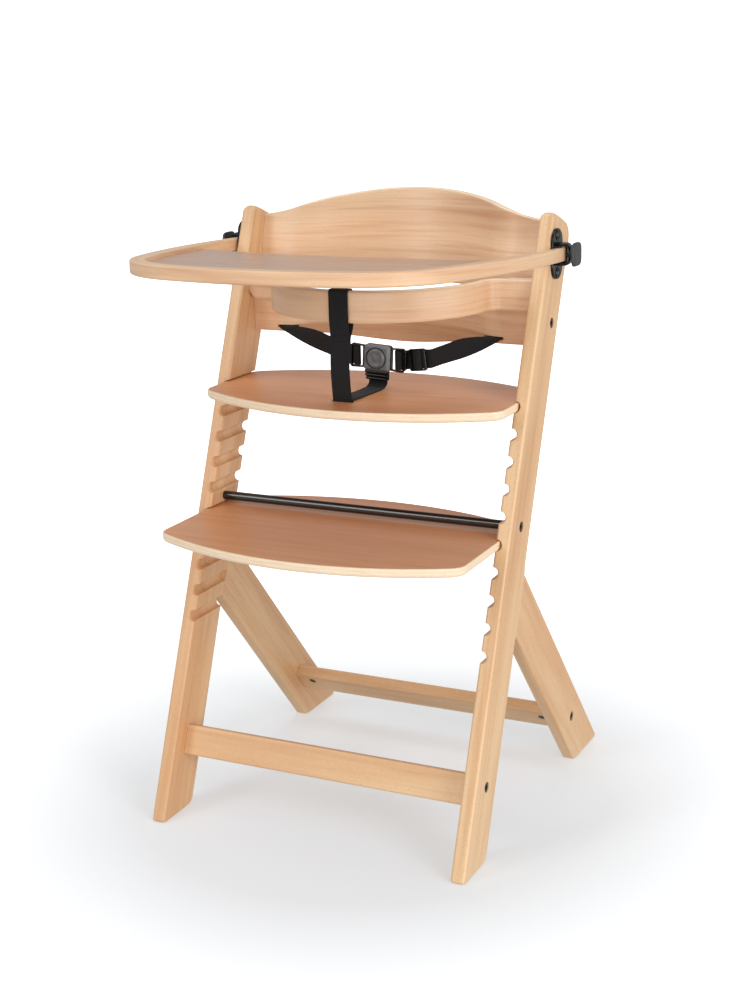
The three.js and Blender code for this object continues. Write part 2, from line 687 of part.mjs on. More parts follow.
// The panel has a hollow back edge that makes room for the sitter.
function trayPanelPlan(grow) {
  const inset = TRAY.rim - TRAY_PANEL.tongue - grow;
  const side = TRAY_SIDE.radius - inset;
  const hollow = TRAY_PANEL.backCorner - TRAY_PANEL.back;
  const cornerX = TRAY_SIDE_CENTRE[0] + Math.sqrt(side ** 2 - (TRAY_PANEL.backCorner - TRAY_SIDE.y) ** 2);
  const radius = (cornerX ** 2 + hollow ** 2) / (2 * hollow);
  const angle = Math.asin(cornerX / radius);
  const down = -Math.PI / 2;
  const shape = new THREE.Shape();
  shape.absarc(0, TRAY_PANEL.back + radius + grow, radius, down - angle, down + angle, false);
  trayEdge(shape, inset, TRAY_PANEL.backCorner + grow);
  return shape;
}

const TRAY_MIDDLE = (TRAY.bottom + TRAY.top) / 2;

function tilted(geometry) {
  geometry.translate(0, -BRACKET.y, -TRAY_MIDDLE);
  geometry.rotateX(-TRAY_TILT);
  geometry.translate(0, BRACKET.y, TRAY_MIDDLE);
  return geometry;
}

function addTray() {
  const { bottom, top } = TRAY_PANEL;
  const groove = alongZ(trayPanelPlan(GAP), bottom - GAP, top + GAP, 10);
  const pinHalf = KNOB.pin + 1.2;
  const slotEnd = BRACKET.y + TRAY_TRAVEL + pinHalf;
  const pinSlots = [-1, 1].map((side) => {
    const ends = [side * (TRAY.halfWidth - KNOB.reach - 0.5), side * (TRAY.halfWidth + 1)];
    ends.sort((a, b) => a - b);
    const low = TRAY_MIDDLE - pinHalf;
    const outline = rectangle(BRACKET.y - pinHalf, low, slotEnd, TRAY_MIDDLE + pinHalf, pinHalf);
    return alongX(outline, ends[0], ends[1], 4);
  });
  const rim = alongZ(trayRimPlan(), TRAY.bottom, TRAY.top, 10);
  add('tray_rim', tilted(cut(rim, [groove, ...pinSlots])), 'beech');
  add('tray_panel', tilted(alongZ(trayPanelPlan(0), bottom, top, 10)), 'plywood');
}

// ---- tray brackets and lock knobs -------------------------------------------------------------

function bracketScrewHole(z) {
  return cylinder(2.3, [OUTER - 13, BRACKET.y, z], [OUTER + 1, BRACKET.y, z], 8);
}

function bracketScrew(z) {
  const face = OUTER + GAP + BRACKET.plate + GAP;
  const profile = [
    [0, OUTER - 12.5],
    [2, OUTER - 12],
    [2, face],
    [4.6, face],
    [4.2, face + 1.6],
    [2.4, face + 2.4],
    [0, face + 2.4],
  ];
  return turnedAlongX(profile, BRACKET.y, z);
}

// A plate on the plank, a loop that the tray arm slides through, and a boss for the lock pin.
function bracket() {
  const { y, z, halfWidth, halfHeight, plate, loopWidth, bar } = BRACKET;
  const inside = OUTER + GAP;
  const plateOut = inside + plate;
  const armOut = TRAY.halfWidth + 0.5;
  const opening = (TRAY.top - TRAY.bottom) / 2 + LOOP_CLEARANCE;
  const outline = rectangle(y - halfWidth, z - halfHeight, y + halfWidth, z + halfHeight, halfWidth - 1);
  const loop = rounded([
    [inside, z - opening - bar],
    [armOut + bar, z - opening - bar, 6],
    [armOut + bar, z + opening + bar, 6],
    [inside, z + opening + bar],
  ]);
  const loopLow = y - loopWidth / 2;
  const loopHigh = y + loopWidth / 2;
  const body = join([
    alongX(outline, inside, plateOut, 6),
    alongY(loop, loopLow, loopHigh),
    cylinder(BOSS.radius, [armOut + 1, y, z], [BOSS.end, y, z], 16),
  ]);
  const screws = bracketScrewCentres().map((screwZ) =>
    cylinder(2.3, [inside - 1, y, screwZ], [plateOut + 1, y, screwZ], 8),
  );
  return cut(body, [
    boxBetween([plateOut, loopLow - 1, z - opening], [armOut, loopHigh + 1, z + opening]),
    cylinder(BOSS.pocket, [armOut - 1, y, z], [BOSS.end - BOSS.wall, y, z], 12),
    cylinder(KNOB.pin + GAP, [armOut, y, z], [BOSS.end + 1, y, z]),
    ...screws,
  ]);
}

// The squarish knob, its pin and the collar that the spring pushes on, in one piece.
function lockKnob() {
  const { half, corner, thickness, pin, collar, reach } = KNOB;
  const { y, z } = BRACKET;
  const tip = TRAY.halfWidth - reach;
  const collarIn = TRAY.halfWidth + 0.8;
  const knobIn = BOSS.end + GAP;
  const stem = [
    [0, tip],
    [pin, tip],
    [pin, collarIn],
    [collar, collarIn],
    [collar, collarIn + 1.4],
    [pin, collarIn + 1.4],
    [pin, knobIn + 1],
    [0, knobIn + 1],
  ];
  const cap = rectangle(y - half, z - half, y + half, z + half, corner);
  return join([turnedAlongX(stem, y, z), alongX(cap, knobIn, knobIn + thickness)]);
}

function ringAlongX(inner, outer, x0, x1, y, z) {
  const profile = [
    [inner, x0],
    [outer, x0],
    [outer, x1],
    [inner, x1],
    [inner, x0],
  ];
  return turnedAlongX(profile, y, z);
}

function addBrackets() {
  addPair('tray_bracket', bracket(), 'plastic');
  addPair('lock_knob', lockKnob(), 'greyPlastic');
  const springIn = TRAY.halfWidth + 2.5;
  const springOut = BOSS.end - BOSS.wall - GAP;
  const spring = ringAlongX(KNOB.pin + 0.4, KNOB.collar, springIn, springOut, BRACKET.y, BRACKET.z);
  addPair('knob_spring', spring, 'steel');
  const [low, high] = bracketScrewCentres();
  addPair('bracket_screw_lower', bracketScrew(low), 'steel');
  addPair('bracket_screw_upper', bracketScrew(high), 'steel');
}

// ---- harness --------------------------------------------------------------------------------

// A flat strap lofted along its route: each stop has a centre and a direction across the strap.
function strap(width, stops) {
  const centres = new THREE.CatmullRomCurve3(stops.map((stop) => new THREE.Vector3(...stop.at)));
  const across = new THREE.CatmullRomCurve3(stops.map((stop) => new THREE.Vector3(...stop.across)));
  const steps = STRAP_STEPS * (stops.length - 1);
  const positions = [];
  for (let i = 0; i <= steps; i += 1) {
    const centre = centres.getPoint(i / steps);
    const tangent = centres.getTangent(i / steps);
    const wide = across.getPoint(i / steps);
    wide.addScaledVector(tangent, -wide.dot(tangent)).setLength(width / 2);
    const thick = tangent.clone().cross(wide).setLength(WEBBING.thickness / 2);
    for (const [u, v] of [[-1, -1], [1, -1], [1, 1], [-1, 1]]) {
      positions.push(...centre.clone().addScaledVector(wide, u).addScaledVector(thick, v));
    }
  }
  const index = [0, 2, 1, 0, 3, 2];
  for (let i = 0; i < steps; i += 1) {
    for (let side = 0; side < 4; side += 1) {
      const a = 4 * i + side;
      const b = 4 * i + ((side + 1) % 4);
      index.push(a, b, b + 4, a, b + 4, a + 4);
    }
  }
  const last = 4 * steps;
  index.push(last, last + 1, last + 2, last, last + 2, last + 3);
  const geometry = new THREE.BufferGeometry();
  geometry.setAttribute('position', new THREE.Float32BufferAttribute(positions, 3));
  geometry.setIndex(index);
  geometry.computeVertexNormals();
  return geometry;
}

// A strap that lies square to X all along: stops are [x, y, z].
function centreStrap(stops) {
  const across = [1, 0, 0];
  return strap(WEBBING.centre, stops.map((at) => ({ at, across })));
}

const STRAP_BEHIND = 3.8; // the right strap runs this far behind the middle of its adjuster

// Waist strap: level where it leaves the slit, turned on edge where it reaches the buckle.
function waistStrap(side, slitX, tipY) {
  const { z } = WAIST_SLIT;
  const level = [-side, 0, 0];
  const upright = [0, 0, 1];
  const tip = SHELL.halfWidth + GAP + TONGUE.length + GAP;
  return strap(WEBBING.waist, [
    { at: [slitX, 330, z], across: level },
    { at: [slitX, 298, z], across: level },
    { at: [slitX - side * 12, 282, z - 3], across: [-side * 0.85, 0, 0.5] },
    { at: [slitX - side * 38, 264, z - 11], across: [-side * 0.5, 0, 0.85] },
    { at: onBuckle(side * (tip + 24), tipY + 1).toArray(), across: upright },
    { at: onBuckle(side * (tip + 6), tipY).toArray(), across: upright },
    { at: onBuckle(side * tip, tipY).toArray(), across: upright },
  ]);
}

// Guard strap: a loop round the guard rail, sewn below it, then down through the seat's slit.
function guardStrap() {
  const slitX = SEAT_SLIT.x;
  const slitY = SEAT_SLIT.y - 1.6;
  const guardX = 7;
  const frontY = GUARD.front - 1.5;
  const rearY = GUARD.front + GUARD.thickness + 3.2;
  const overY = GUARD.front + GUARD.thickness / 2;
  const overZ = GUARD.top + 1.8;
  const seamZ = GUARD.bottom - 18;
  const front = centreStrap([
    [slitX, slitY, 530],
    [slitX, slitY, 556],
    [slitX + 2, slitY - 6, 600],
    [guardX - 1, frontY + 4, seamZ],
    [guardX, frontY, GUARD.bottom],
    [guardX, frontY, GUARD.top - 2],
    [guardX, frontY + 1.6, overZ],
    [guardX, overY + 1, overZ],
  ]);
  const rear = centreStrap([
    [guardX, overY - 1, overZ],
    [guardX, rearY - 2.2, overZ],
    [guardX, rearY, GUARD.top - 2],
    [guardX, rearY, GUARD.bottom],
    [guardX - 1, frontY + 5.2, seamZ],
    [guardX - 2, frontY + 5.8, seamZ - 14],
  ]);
  return join([front, rear]);
}

// Buckle strap: up through the same slit, back along the seat, then up to the buckle.
function buckleStrap() {
  const { x, y } = SEAT_SLIT;
  const seatTop = slotZ(SEAT_SLOT) - SLOT_RADIUS + GAP + BOARD.thickness;
  const layZ = seatTop + 1.8;
  return centreStrap([
    [x, y + 1.6, 530],
    [x, y + 1.6, seatTop - 0.4],
    [x, y + 4.6, layZ + 1.4],
    [x + 1, y + 20, layZ],
    [x + 3, BUCKLE.y - 22, layZ],
    [x + 4, BUCKLE.y - 10, layZ + 1],
    [BUCKLE.x, BUCKLE.y, layZ + 7],
    [BUCKLE.x, BUCKLE.y + 2, BUCKLE.z - SHELL.halfHeight - 2],
  ]);
}

// Buckle pieces are drawn about the buckle's own centre.
function atBuckle(geometry) {
  return geometry.rotateY(BUCKLE_TILT).translate(BUCKLE.x, BUCKLE.y, BUCKLE.z);
}

function onBuckle(x, y) {
  const point = new THREE.Vector3(x, y, 0);
  return point.applyAxisAngle(new THREE.Vector3(0, 1, 0), BUCKLE_TILT).add(BUCKLE);
}

const PRONG = { inner: 7.5, halfHeight: 10, halfThickness: 2 };
const BUTTON = { radius: 11.8, stem: 5.5, front: -8, capBack: -4.7, stemBack: -1.5 };

function prongChannels() {
  return [-1, 1].map((side) => {
    const ends = [side * (PRONG.inner - 1), side * (SHELL.halfWidth + 1)].sort((a, b) => a - b);
    const half = PRONG.halfThickness + GAP;
    const high = PRONG.halfHeight + GAP;
    return boxBetween([ends[0], -half, -high], [ends[1], half, high]);
  });
}

function frontShell() {
  const { halfWidth, halfHeight, depth } = SHELL;
  const outline = rectangle(-halfWidth, -halfHeight, halfWidth, halfHeight, 3);
  return cut(alongY(outline, -depth, -GAP / 2), [
    cylinder(BUTTON.radius + GAP, [0, -depth - 1, 0], [0, 1, 0], 20),
    ...prongChannels(),
  ]);
}

function backShell() {
  const { halfWidth, halfHeight, depth } = SHELL;
  const outline = rectangle(-halfWidth, -halfHeight, halfWidth, halfHeight, 3);
  return cut(alongY(outline, GAP / 2, depth), [
    cylinder(BUTTON.stem + 0.5, [0, -1, 0], [0, 5, 0], 12),
    ...prongChannels(),
  ]);
}

function releaseButton() {
  const { radius, stem, front, capBack, stemBack } = BUTTON;
  const cap = cylinder(radius, [0, front, 0], [0, capBack, 0], 20);
  const dish = new THREE.SphereGeometry(22, 20, 14).translate(0, front - 20.6, 0);
  return join([cut(cap, [dish]), cylinder(stem, [0, capBack - 0.5, 0], [0, stemBack, 0], 12)]);
}

function buttonSpring() {
  const y0 = BUTTON.stemBack + GAP;
  return ringAlongX(3.4, 4.8, y0, 4.6, 0, 0).rotateZ(Math.PI / 2);
}

// A tongue: prongs inside the buckle, and a frame outside whose end bar takes the strap.
function tongue() {
  const { length, halfHeight, halfThickness } = TONGUE;
  const start = SHELL.halfWidth + GAP;
  const end = start + length;
  const outline = rectangle(start, -halfHeight, end, halfHeight, 4);
  const prongs = boxBetween(
    [PRONG.inner, -PRONG.halfThickness, -PRONG.halfHeight],
    [start + 1, PRONG.halfThickness, PRONG.halfHeight],
  );
  const between = boxBetween([PRONG.inner - 1, -4, -4.5], [SHELL.halfWidth - 2, 4, 4.5]);
  const windowHigh = halfHeight - 2.6;
  const window = boxBetween([start + 4.5, -4, -windowHigh], [end - 4, 4, windowHigh]);
  return cut(join([alongY(outline, -halfThickness, halfThickness), prongs]), [between, window]);
}

// A slider with two windows; the strap is threaded round its middle bar.
function adjuster() {
  const { start, end, halfHeight } = ADJUSTER;
  const frame = alongY(rectangle(start, -halfHeight, end, halfHeight, 3), -2.6, 2.4);
  const windowHigh = halfHeight - 1.7;
  const windows = [
    boxBetween([start + 3.5, -4, -windowHigh], [start + 9.5, 4, windowHigh]),
    boxBetween([end - 9.5, -4, -windowHigh], [end - 3.5, 4, windowHigh]),
  ];
  return cut(frame, windows);
}

// A flat plate with a slot: a strap end is folded behind it, so it can't pull back out.
function anchorPlate(thickness) {
  const plate = boxBetween([-19, 0, -7], [19, thickness, 7]);
  return cut(plate, [boxBetween([-15, -1, -2.5], [15, thickness + 1, 2.5])]);
}

// The back's rear face near its ends, at x: its y coordinate and its slope along x.
function backRear(x) {
  const { flat, reverse, thickness } = BACK;
  const across = Math.min(Math.abs(x) - flat, 0);
  const radius = reverse - thickness;
  const rise = Math.sqrt(radius ** 2 - across ** 2);
  const slope = (Math.sign(x) * across) / rise;
  return { y: LOWER_BACK.y + reverse - rise, slope };
}

function waistAnchor(x) {
  const { y, slope } = backRear(x);
  return anchorPlate(2.5)
    .rotateZ(Math.atan(slope))
    .translate(x, y + 3.5, WAIST_SLIT.z);
}

function seatAnchor() {
  const top = slotZ(SEAT_SLOT) - SLOT_RADIUS - GAP;
  const { x, y, halfWidth, halfDepth } = SEAT_SLIT;
  const plate = boxBetween([x - halfWidth - 5, y - 10, top - 3], [x + halfWidth + 5, y + 10, top]);
  const low = [x - halfWidth, y - halfDepth, top - 5];
  const high = [x + halfWidth, y + halfDepth, top + 2];
  return cut(plate, [boxBetween(low, high)]);
}

function addHarness() {
  const { leftX, rightX } = WAIST_SLIT;
  add('left_waist_strap', waistStrap(-1, leftX, 0), 'webbing');
  add('right_waist_strap', waistStrap(1, rightX, STRAP_BEHIND), 'webbing');
  add('guard_strap', guardStrap(), 'webbing');
  add('buckle_strap', buckleStrap(), 'webbing');
  add('left_strap_anchor', waistAnchor(leftX), 'plastic');
  add('right_strap_anchor', waistAnchor(rightX), 'plastic');
  add('seat_strap_anchor', seatAnchor(), 'plastic');
  add('buckle_front_shell', atBuckle(frontShell()), 'greyPlastic');
  add('buckle_back_shell', atBuckle(backShell()), 'plastic');
  add('release_button', atBuckle(releaseButton()), 'greyPlastic');
  add('button_spring', atBuckle(buttonSpring()), 'steel');
  add('right_tongue', atBuckle(tongue()), 'plastic');
  add('left_tongue', atBuckle(mirrored(tongue())), 'plastic');
  add('strap_adjuster', atBuckle(adjuster()), 'plastic');
}

// ---- assembly -------------------------------------------------------------------------------

addFrame();
addTieRod();
addBoards();
addBack();
addGuard();
addTray();
addBrackets();
addHarness();

const bounds = new THREE.Box3().setFromObject(chair);
chair.position.y = -(bounds.min.y + bounds.max.y) / 2;

export default chair;
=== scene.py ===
"""The looks of the wooden high chair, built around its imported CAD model.

Shapes are worked out in the chair's own layout: millimetres, x = 0 in the middle, y = 0 and z = 0
at the front foot corner of the side planks. placed() turns a layout point into the frame's metres.
"""

import bisect
import itertools
import math

import bmesh
import bpy
from mathutils import Matrix, Vector, noise


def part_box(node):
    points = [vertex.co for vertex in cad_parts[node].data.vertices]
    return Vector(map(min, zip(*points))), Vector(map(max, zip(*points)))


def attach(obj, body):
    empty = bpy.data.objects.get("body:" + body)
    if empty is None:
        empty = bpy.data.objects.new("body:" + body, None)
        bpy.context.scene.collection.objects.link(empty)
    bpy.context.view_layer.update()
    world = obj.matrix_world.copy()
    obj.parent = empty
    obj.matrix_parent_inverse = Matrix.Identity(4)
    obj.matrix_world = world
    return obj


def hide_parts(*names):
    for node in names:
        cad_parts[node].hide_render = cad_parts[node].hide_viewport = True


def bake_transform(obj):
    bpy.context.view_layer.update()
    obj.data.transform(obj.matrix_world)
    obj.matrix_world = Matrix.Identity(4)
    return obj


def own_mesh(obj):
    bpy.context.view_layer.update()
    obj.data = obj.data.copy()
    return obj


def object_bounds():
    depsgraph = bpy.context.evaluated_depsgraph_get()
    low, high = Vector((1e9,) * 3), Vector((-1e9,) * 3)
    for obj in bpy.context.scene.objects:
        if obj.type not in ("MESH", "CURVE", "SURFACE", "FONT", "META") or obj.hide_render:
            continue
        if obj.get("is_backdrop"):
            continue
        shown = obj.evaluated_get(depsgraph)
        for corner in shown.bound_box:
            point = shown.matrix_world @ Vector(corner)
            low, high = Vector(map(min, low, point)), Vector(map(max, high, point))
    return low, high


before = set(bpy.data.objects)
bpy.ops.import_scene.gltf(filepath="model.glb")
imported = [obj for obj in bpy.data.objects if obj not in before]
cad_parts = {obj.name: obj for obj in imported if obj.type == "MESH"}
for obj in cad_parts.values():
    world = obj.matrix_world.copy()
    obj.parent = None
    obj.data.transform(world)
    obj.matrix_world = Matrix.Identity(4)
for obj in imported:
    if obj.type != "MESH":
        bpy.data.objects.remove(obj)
CAD_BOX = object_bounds()

# ---- driving dimensions, in millimetres ------------------------------------------------------

LEAN = math.radians(21.87)
UPRIGHT_WIDTH = 68.0
UPRIGHT_LENGTH = 843.0
LEG_LEAN = math.radians(40.7)
LEG_WIDTH = 72.0
LEG_FOOT_Y = 403.9
INNER = 206.0
OUTER = 225.0
END = 205.7
EDGE_ROUND = 3.6
TOP_ROUND = 7.0
FOOT_ROUND = 3.0

SLOT_COUNT = 10
SLOT_TOP_Z = 548.5
SLOT_PITCH = 32.34
SLOT_RADIUS = 7.0
SLOT_STRAIGHT = 0.5
SLOT_LIP = 0.7

RAIL = {"thickness": 18.0, "height": 40.0, "round": 2.5}
FRONT_RAIL_S = 113.3
REAR_RAIL_S = 56.5
RAIL_BOLT_OFFSET = 6.5
COUNTERBORE = {"radius": 6.9, "depth": 5.2}
NUT_HOLE = {"x": 183.0, "radius": 5.3, "depth": 14.9}
TIE_ROD = {"n": 33.0, "s": 446.0, "radius": 6.0}

BOARD = {"half_width": 211.0, "round": 4.0, "round_top": 1.6, "corner": 14.0}
SEAT = {"front": 105.0, "front_radius": 385.0, "back": 355.5, "back_radius": 418.0}
FOOTREST = {"front": -13.0, "front_radius": 440.0, "back": 278.0, "back_radius": 475.0}
SEAT_SLIT = {"x": -1.0, "y": 159.0, "half_width": 16.0, "half_depth": 4.0}

BACK = {"thickness": 12.0, "flat": 168.0, "depth": 52.0, "reverse": 80.0, "round": 3.0}
UPPER_BACK = {"y": 317.9, "lean": 0.23, "bottom": 678.0, "end_top": 766.0, "crown": 800.0}
CROWN_RADIUS = 540.0
LOWER_BACK = {"y": 299.3, "bottom": 611.5, "dip": 14.5, "middle_top": 659.0, "ear_top": 697.0}
EAR = {"start": 138.0, "end": 168.0}
WAIST_SLIT = {"left": -155.0, "right": 146.0, "half_width": 15.0, "z": 619.0, "half_height": 1.9}
SLAT_BOLT_Z = 641.7

GUARD = {"bottom": 657.0, "top": 697.5, "thickness": 12.0, "round": 3.5, "tab_corner": 9.0}
GUARD_PLAN = {"tab_y": 287.0, "radius": 150.0, "front": 139.0, "bend": 15.0}

TRAY = {"half_width": 240.3, "bottom": 719.0, "top": 736.0, "rim": 19.0, "arm": 11.4, "end": 362.0}
TRAY_TILT = math.radians(2.4)
TRAY_SIDE = {"radius": 919.0, "y": 260.0, "inner_end": 200.0, "arm_start": 285.0}
TRAY_CORNER_RADIUS = 132.0
TRAY_FRONT = {"y": -87.0, "radius": 490.0}
TRAY_PANEL = {"bottom": 722.0, "top": 730.0, "tongue": 4.0, "back": 158.0, "back_corner": 190.0}

BRACKET = {"y": 318.0, "z": 728.0, "half_width": 18.0, "half_height": 32.0, "plate": 3.0}
SCREW_RISE = 24.0
LOOP = {"width": 14.0, "bar": 5.0, "clear": 1.1}
BOSS = {"radius": 7.5, "end": 250.5}
ARM_OUT = TRAY["half_width"] + 0.5
KNOB_HALF = 14.9

WAIST_WEBBING = 25.0
CENTRE_WEBBING = 26.8
WEBBING_THICKNESS = 1.3
BUCKLE = Vector((5.0, 250.0, 594.0))
BUCKLE_TILT = math.radians(3.5)
SHELL = {"half_width": 19.0, "half_height": 17.0, "depth": 7.0}
TONGUE = {"length": 22.0, "half_height": 16.0, "half_thickness": 2.8, "chamfer": 5.0}
TONGUE_WINDOW = {"near": 1.5, "far": 4.5, "rim": 2.6, "bar_near": 7.6, "bar_far": 9.6}
PRONG = {"tip": 7.6, "near": 4.5, "far": 10.0, "half_thickness": 2.0}
ADJUSTER = {"start": 45.5, "end": 69.5, "half_height": 14.5, "edge": 3.5, "bar": 9.5}
STRAP_CLIMB = {"from": 34.0, "slope": 0.17}
LADDER = {"half_width": 16.5, "drop": 12.5, "overlap": 3.0}
LADDER_BAR = {"half_height": 2.1, "half_depth": 1.6, "front": 2.4}
# Each bar's level about the shells' lower edge, and half its length.
LADDER_BARS = ((-10.6, 15.4), (-6.2, 16.6), (-1.8, 17.4))
STITCH_PITCH = 2.2

FLOOR_GLOW = {"near": 0.38, "more": 0.9}
SIDES = ((-1, "left"), (1, "right"))


def upright_point(n, s):
    """The (y, z) of a point n behind a side plank's front face and s up along it."""
    return (
        n * math.cos(LEAN) + s * math.sin(LEAN),
        s * math.cos(LEAN) - n * math.sin(LEAN),
    )


def leg_point(n, s):
    """The (y, z) of a point n behind a rear leg's front face and s up along it."""
    return (
        LEG_FOOT_Y + n * math.cos(LEG_LEAN) - s * math.sin(LEG_LEAN),
        n * math.sin(LEG_LEAN) + s * math.cos(LEG_LEAN),
    )


TIE_ROD_CENTRE = upright_point(TIE_ROD["n"], TIE_ROD["s"])
FRONT_RAIL_BOLT = upright_point(UPRIGHT_WIDTH / 2, FRONT_RAIL_S + RAIL_BOLT_OFFSET)
REAR_RAIL_BOLT = leg_point(LEG_WIDTH / 2, REAR_RAIL_S + RAIL_BOLT_OFFSET)
SLAT_BOLT = (LOWER_BACK["y"] + BACK["thickness"] / 2, SLAT_BOLT_Z)

rod_low, rod_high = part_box("tie_rod")
LAYOUT_SHIFT = (rod_low.y + rod_high.y) / 2 - TIE_ROD_CENTRE[0] / 1000


def placed(point):
    x, y, z = point
    return Vector((x / 1000, y / 1000 + LAYOUT_SHIFT, z / 1000))


# ---- materials -------------------------------------------------------------------------------


def colour(text):
    """A colour such as e3b98f as the shader's linear values."""
    values = [int(text[i : i + 2], 16) / 255 for i in (0, 2, 4)]
    linear = [v / 12.92 if v <= 0.04045 else ((v + 0.055) / 1.055) ** 2.4 for v in values]
    return (*linear, 1.0)


class Shader:
    """A node material, with short methods for the nodes that it is made of."""

    def __init__(self, name, **settings):
        self.material = bpy.data.materials.new(name)
        self.material.use_nodes = True
        self.tree = self.material.node_tree
        self.bsdf = self.tree.nodes["Principled BSDF"]
        for socket, value in settings.items():
            self.bsdf.inputs[socket.replace("_", " ")].default_value = value

    def put(self, socket, value):
        if isinstance(value, bpy.types.NodeSocket):
            self.tree.links.new(value, socket)
        else:
            socket.default_value = value

    def node(self, kind, output, **inputs):
        node = self.tree.nodes.new("ShaderNode" + kind)
        for name, value in inputs.items():
            self.put(node.inputs[name.replace("_", " ")], value)
        return node.outputs[output]

    def attribute(self, name):
        node = self.tree.nodes.new("ShaderNodeAttribute")
        node.attribute_name = name
        return node.outputs["Vector"]

    def vector_math(self, operation, vector, other):
        node = self.tree.nodes.new("ShaderNodeVectorMath")
        node.operation = operation
        self.put(node.inputs[0], vector)
        self.put(node.inputs[1], other)
        return node.outputs[0]

    def scaled(self, vector, scale):
        return self.vector_math("MULTIPLY", vector, scale)

    def shifted(self, vector, by):
        return self.vector_math("ADD", vector, by)

    def noise(self, vector, scale=1.0, detail=2.0, roughness=0.5, output="Fac"):
        settings = {"Scale": scale, "Detail": detail, "Roughness": roughness}
        return self.node("TexNoise", output, Vector=vector, **settings)

    def length(self, vector):
        node = self.tree.nodes.new("ShaderNodeVectorMath")
        node.operation = "LENGTH"
        self.put(node.inputs[0], vector)
        return node.outputs["Value"]

    def cells(self, vector, output="Distance"):
        return self.node("TexVoronoi", output, Vector=vector, Scale=1.0)

    def math(self, operation, first, second=0.0):
        node = self.tree.nodes.new("ShaderNodeMath")
        node.operation = operation
        self.put(node.inputs[0], first)
        self.put(node.inputs[1], second)
        return node.outputs[0]

    def remap(self, value, low, high, to_low=0.0, to_high=1.0):
        ends = {"From Min": low, "From Max": high, "To Min": to_low, "To Max": to_high}
        return self.node("MapRange", "Result", Value=value, **ends)

    def mix(self, factor, first, second):
        node = self.tree.nodes.new("ShaderNodeMix")
        node.data_type = "RGBA"
        self.put(node.inputs[0], factor)
        self.put(node.inputs[6], first)
        self.put(node.inputs[7], second)
        return node.outputs[2]

    def separate(self, vector):
        node = self.tree.nodes.new("ShaderNodeSeparateXYZ")
        self.put(node.inputs[0], vector)
        return node.outputs

    def bump(self, height, strength, distance):
        return self.node("Bump", "Normal", Height=height, Strength=strength, Distance=distance)

    def surface(self, **inputs):
        for name, value in inputs.items():
            self.put(self.bsdf.inputs[name.replace("_", " ")], value)
        return self.material


# The attribute "grain" holds, in metres, how far a point is along the grain, across it and deep.
def wood(name, light, mid, dark, fleck, fleck_amount=1.0, figure=1.0, roughness=0.42, coat=0.12):
    """Lacquered beech: soft growth bands, fine fibres and the short dark flecks of the rays."""
    light, mid, dark, fleck = (colour(text) for text in (light, mid, dark, fleck))
    shade = Shader(name, IOR=1.48, Coat_Weight=coat, Coat_Roughness=0.28)
    grain = shade.attribute("grain")
    drift = shade.noise(shade.scaled(grain, (3, 9, 9)), detail=1.0, output="Color")
    bent = shade.shifted(grain, shade.scaled(drift, (0.0, 0.010, 0.010)))
    tone = shade.noise(shade.scaled(bent, (2.2, 16, 16)), detail=2.0)
    bands = shade.noise(shade.scaled(bent, (3.5, 95, 95)), detail=3.0, roughness=0.55)
    streaks = shade.noise(shade.scaled(bent, (9, 420, 420)), detail=3.0, roughness=0.6)
    fibres = shade.noise(shade.scaled(bent, (45, 2400, 2400)), detail=2.0)

    base = shade.mix(shade.remap(tone, 0.32, 0.68), light, mid)
    base = shade.mix(shade.remap(bands, 0.48, 0.72, 0.0, 0.55 * figure), base, dark)
    base = shade.mix(shade.remap(streaks, 0.5, 0.78, 0.0, 0.35 * figure), base, dark)

    cells = shade.scaled(grain, (330, 1500, 1500))
    spot = shade.remap(shade.cells(cells), 0.34, 0.12)
    chosen = shade.separate(shade.cells(cells, "Color"))[0]
    flecks = shade.math("MULTIPLY", spot, shade.remap(chosen, 0.52, 0.6))
    strength = shade.math("MULTIPLY", flecks, 0.75 * fleck_amount)
    base = shade.mix(strength, base, fleck)

    # The arrises are painted a little paler: a painted highlight where the roundovers catch the light.
    wear_and_painted_highlight = shade.remap(shade.node("NewGeometry", "Pointiness"), 0.51, 0.56, 0.0, 0.3)
    base = shade.mix(wear_and_painted_highlight, base, light)

    rough = shade.remap(streaks, 0.3, 0.7, roughness - 0.05, roughness + 0.07)
    rough = shade.math("ADD", rough, shade.math("MULTIPLY", flecks, 0.12))
    fine, coarse = (shade.math("MULTIPLY", value, 0.5) for value in (fibres, streaks))
    height = shade.math("ADD", fine, coarse)
    height = shade.math("SUBTRACT", height, shade.math("MULTIPLY", flecks, 0.5))
    normal = shade.bump(height, 0.25, 0.0002)
    return shade.surface(Base_Color=base, Roughness=rough, Normal=normal)


def layered_edge(name, light, dark):
    """The cut edge of plywood: thin plies, alternately end grain and long grain."""
    light, dark = colour(light), colour(dark)
    shade = Shader(name, IOR=1.48, Coat_Weight=0.1, Coat_Roughness=0.3)
    grain = shade.attribute("grain")
    depth = shade.separate(grain)[2]
    wobble = shade.noise(shade.scaled(grain, (25, 25, 0)), detail=2.0)
    level = shade.math("MULTIPLY", depth, 460.0)
    layer = shade.math("ADD", level, shade.math("MULTIPLY", wobble, 0.35))
    plies = shade.remap(shade.math("PINGPONG", layer, 1.0), 0.35, 0.65)
    pores = shade.noise(shade.scaled(grain, (260, 700, 1600)), detail=3.0, roughness=0.65)
    streaks = shade.noise(shade.scaled(grain, (40, 200, 500)), detail=2.0)
    base = shade.mix(shade.math("MULTIPLY", plies, 0.16), light, dark)
    base = shade.mix(shade.remap(pores, 0.52, 0.75, 0.0, 0.5), base, dark)
    base = shade.mix(shade.remap(streaks, 0.45, 0.75, 0.0, 0.3), base, dark)
    rough = shade.remap(pores, 0.3, 0.7, 0.42, 0.56)
    normal = shade.bump(pores, 0.3, 0.0002)
    return shade.surface(Base_Color=base, Roughness=rough, Normal=normal)


def paler(base, times, more):
    return tuple(min(1.0, c * times + more) for c in base[:3]) + (1.0,)


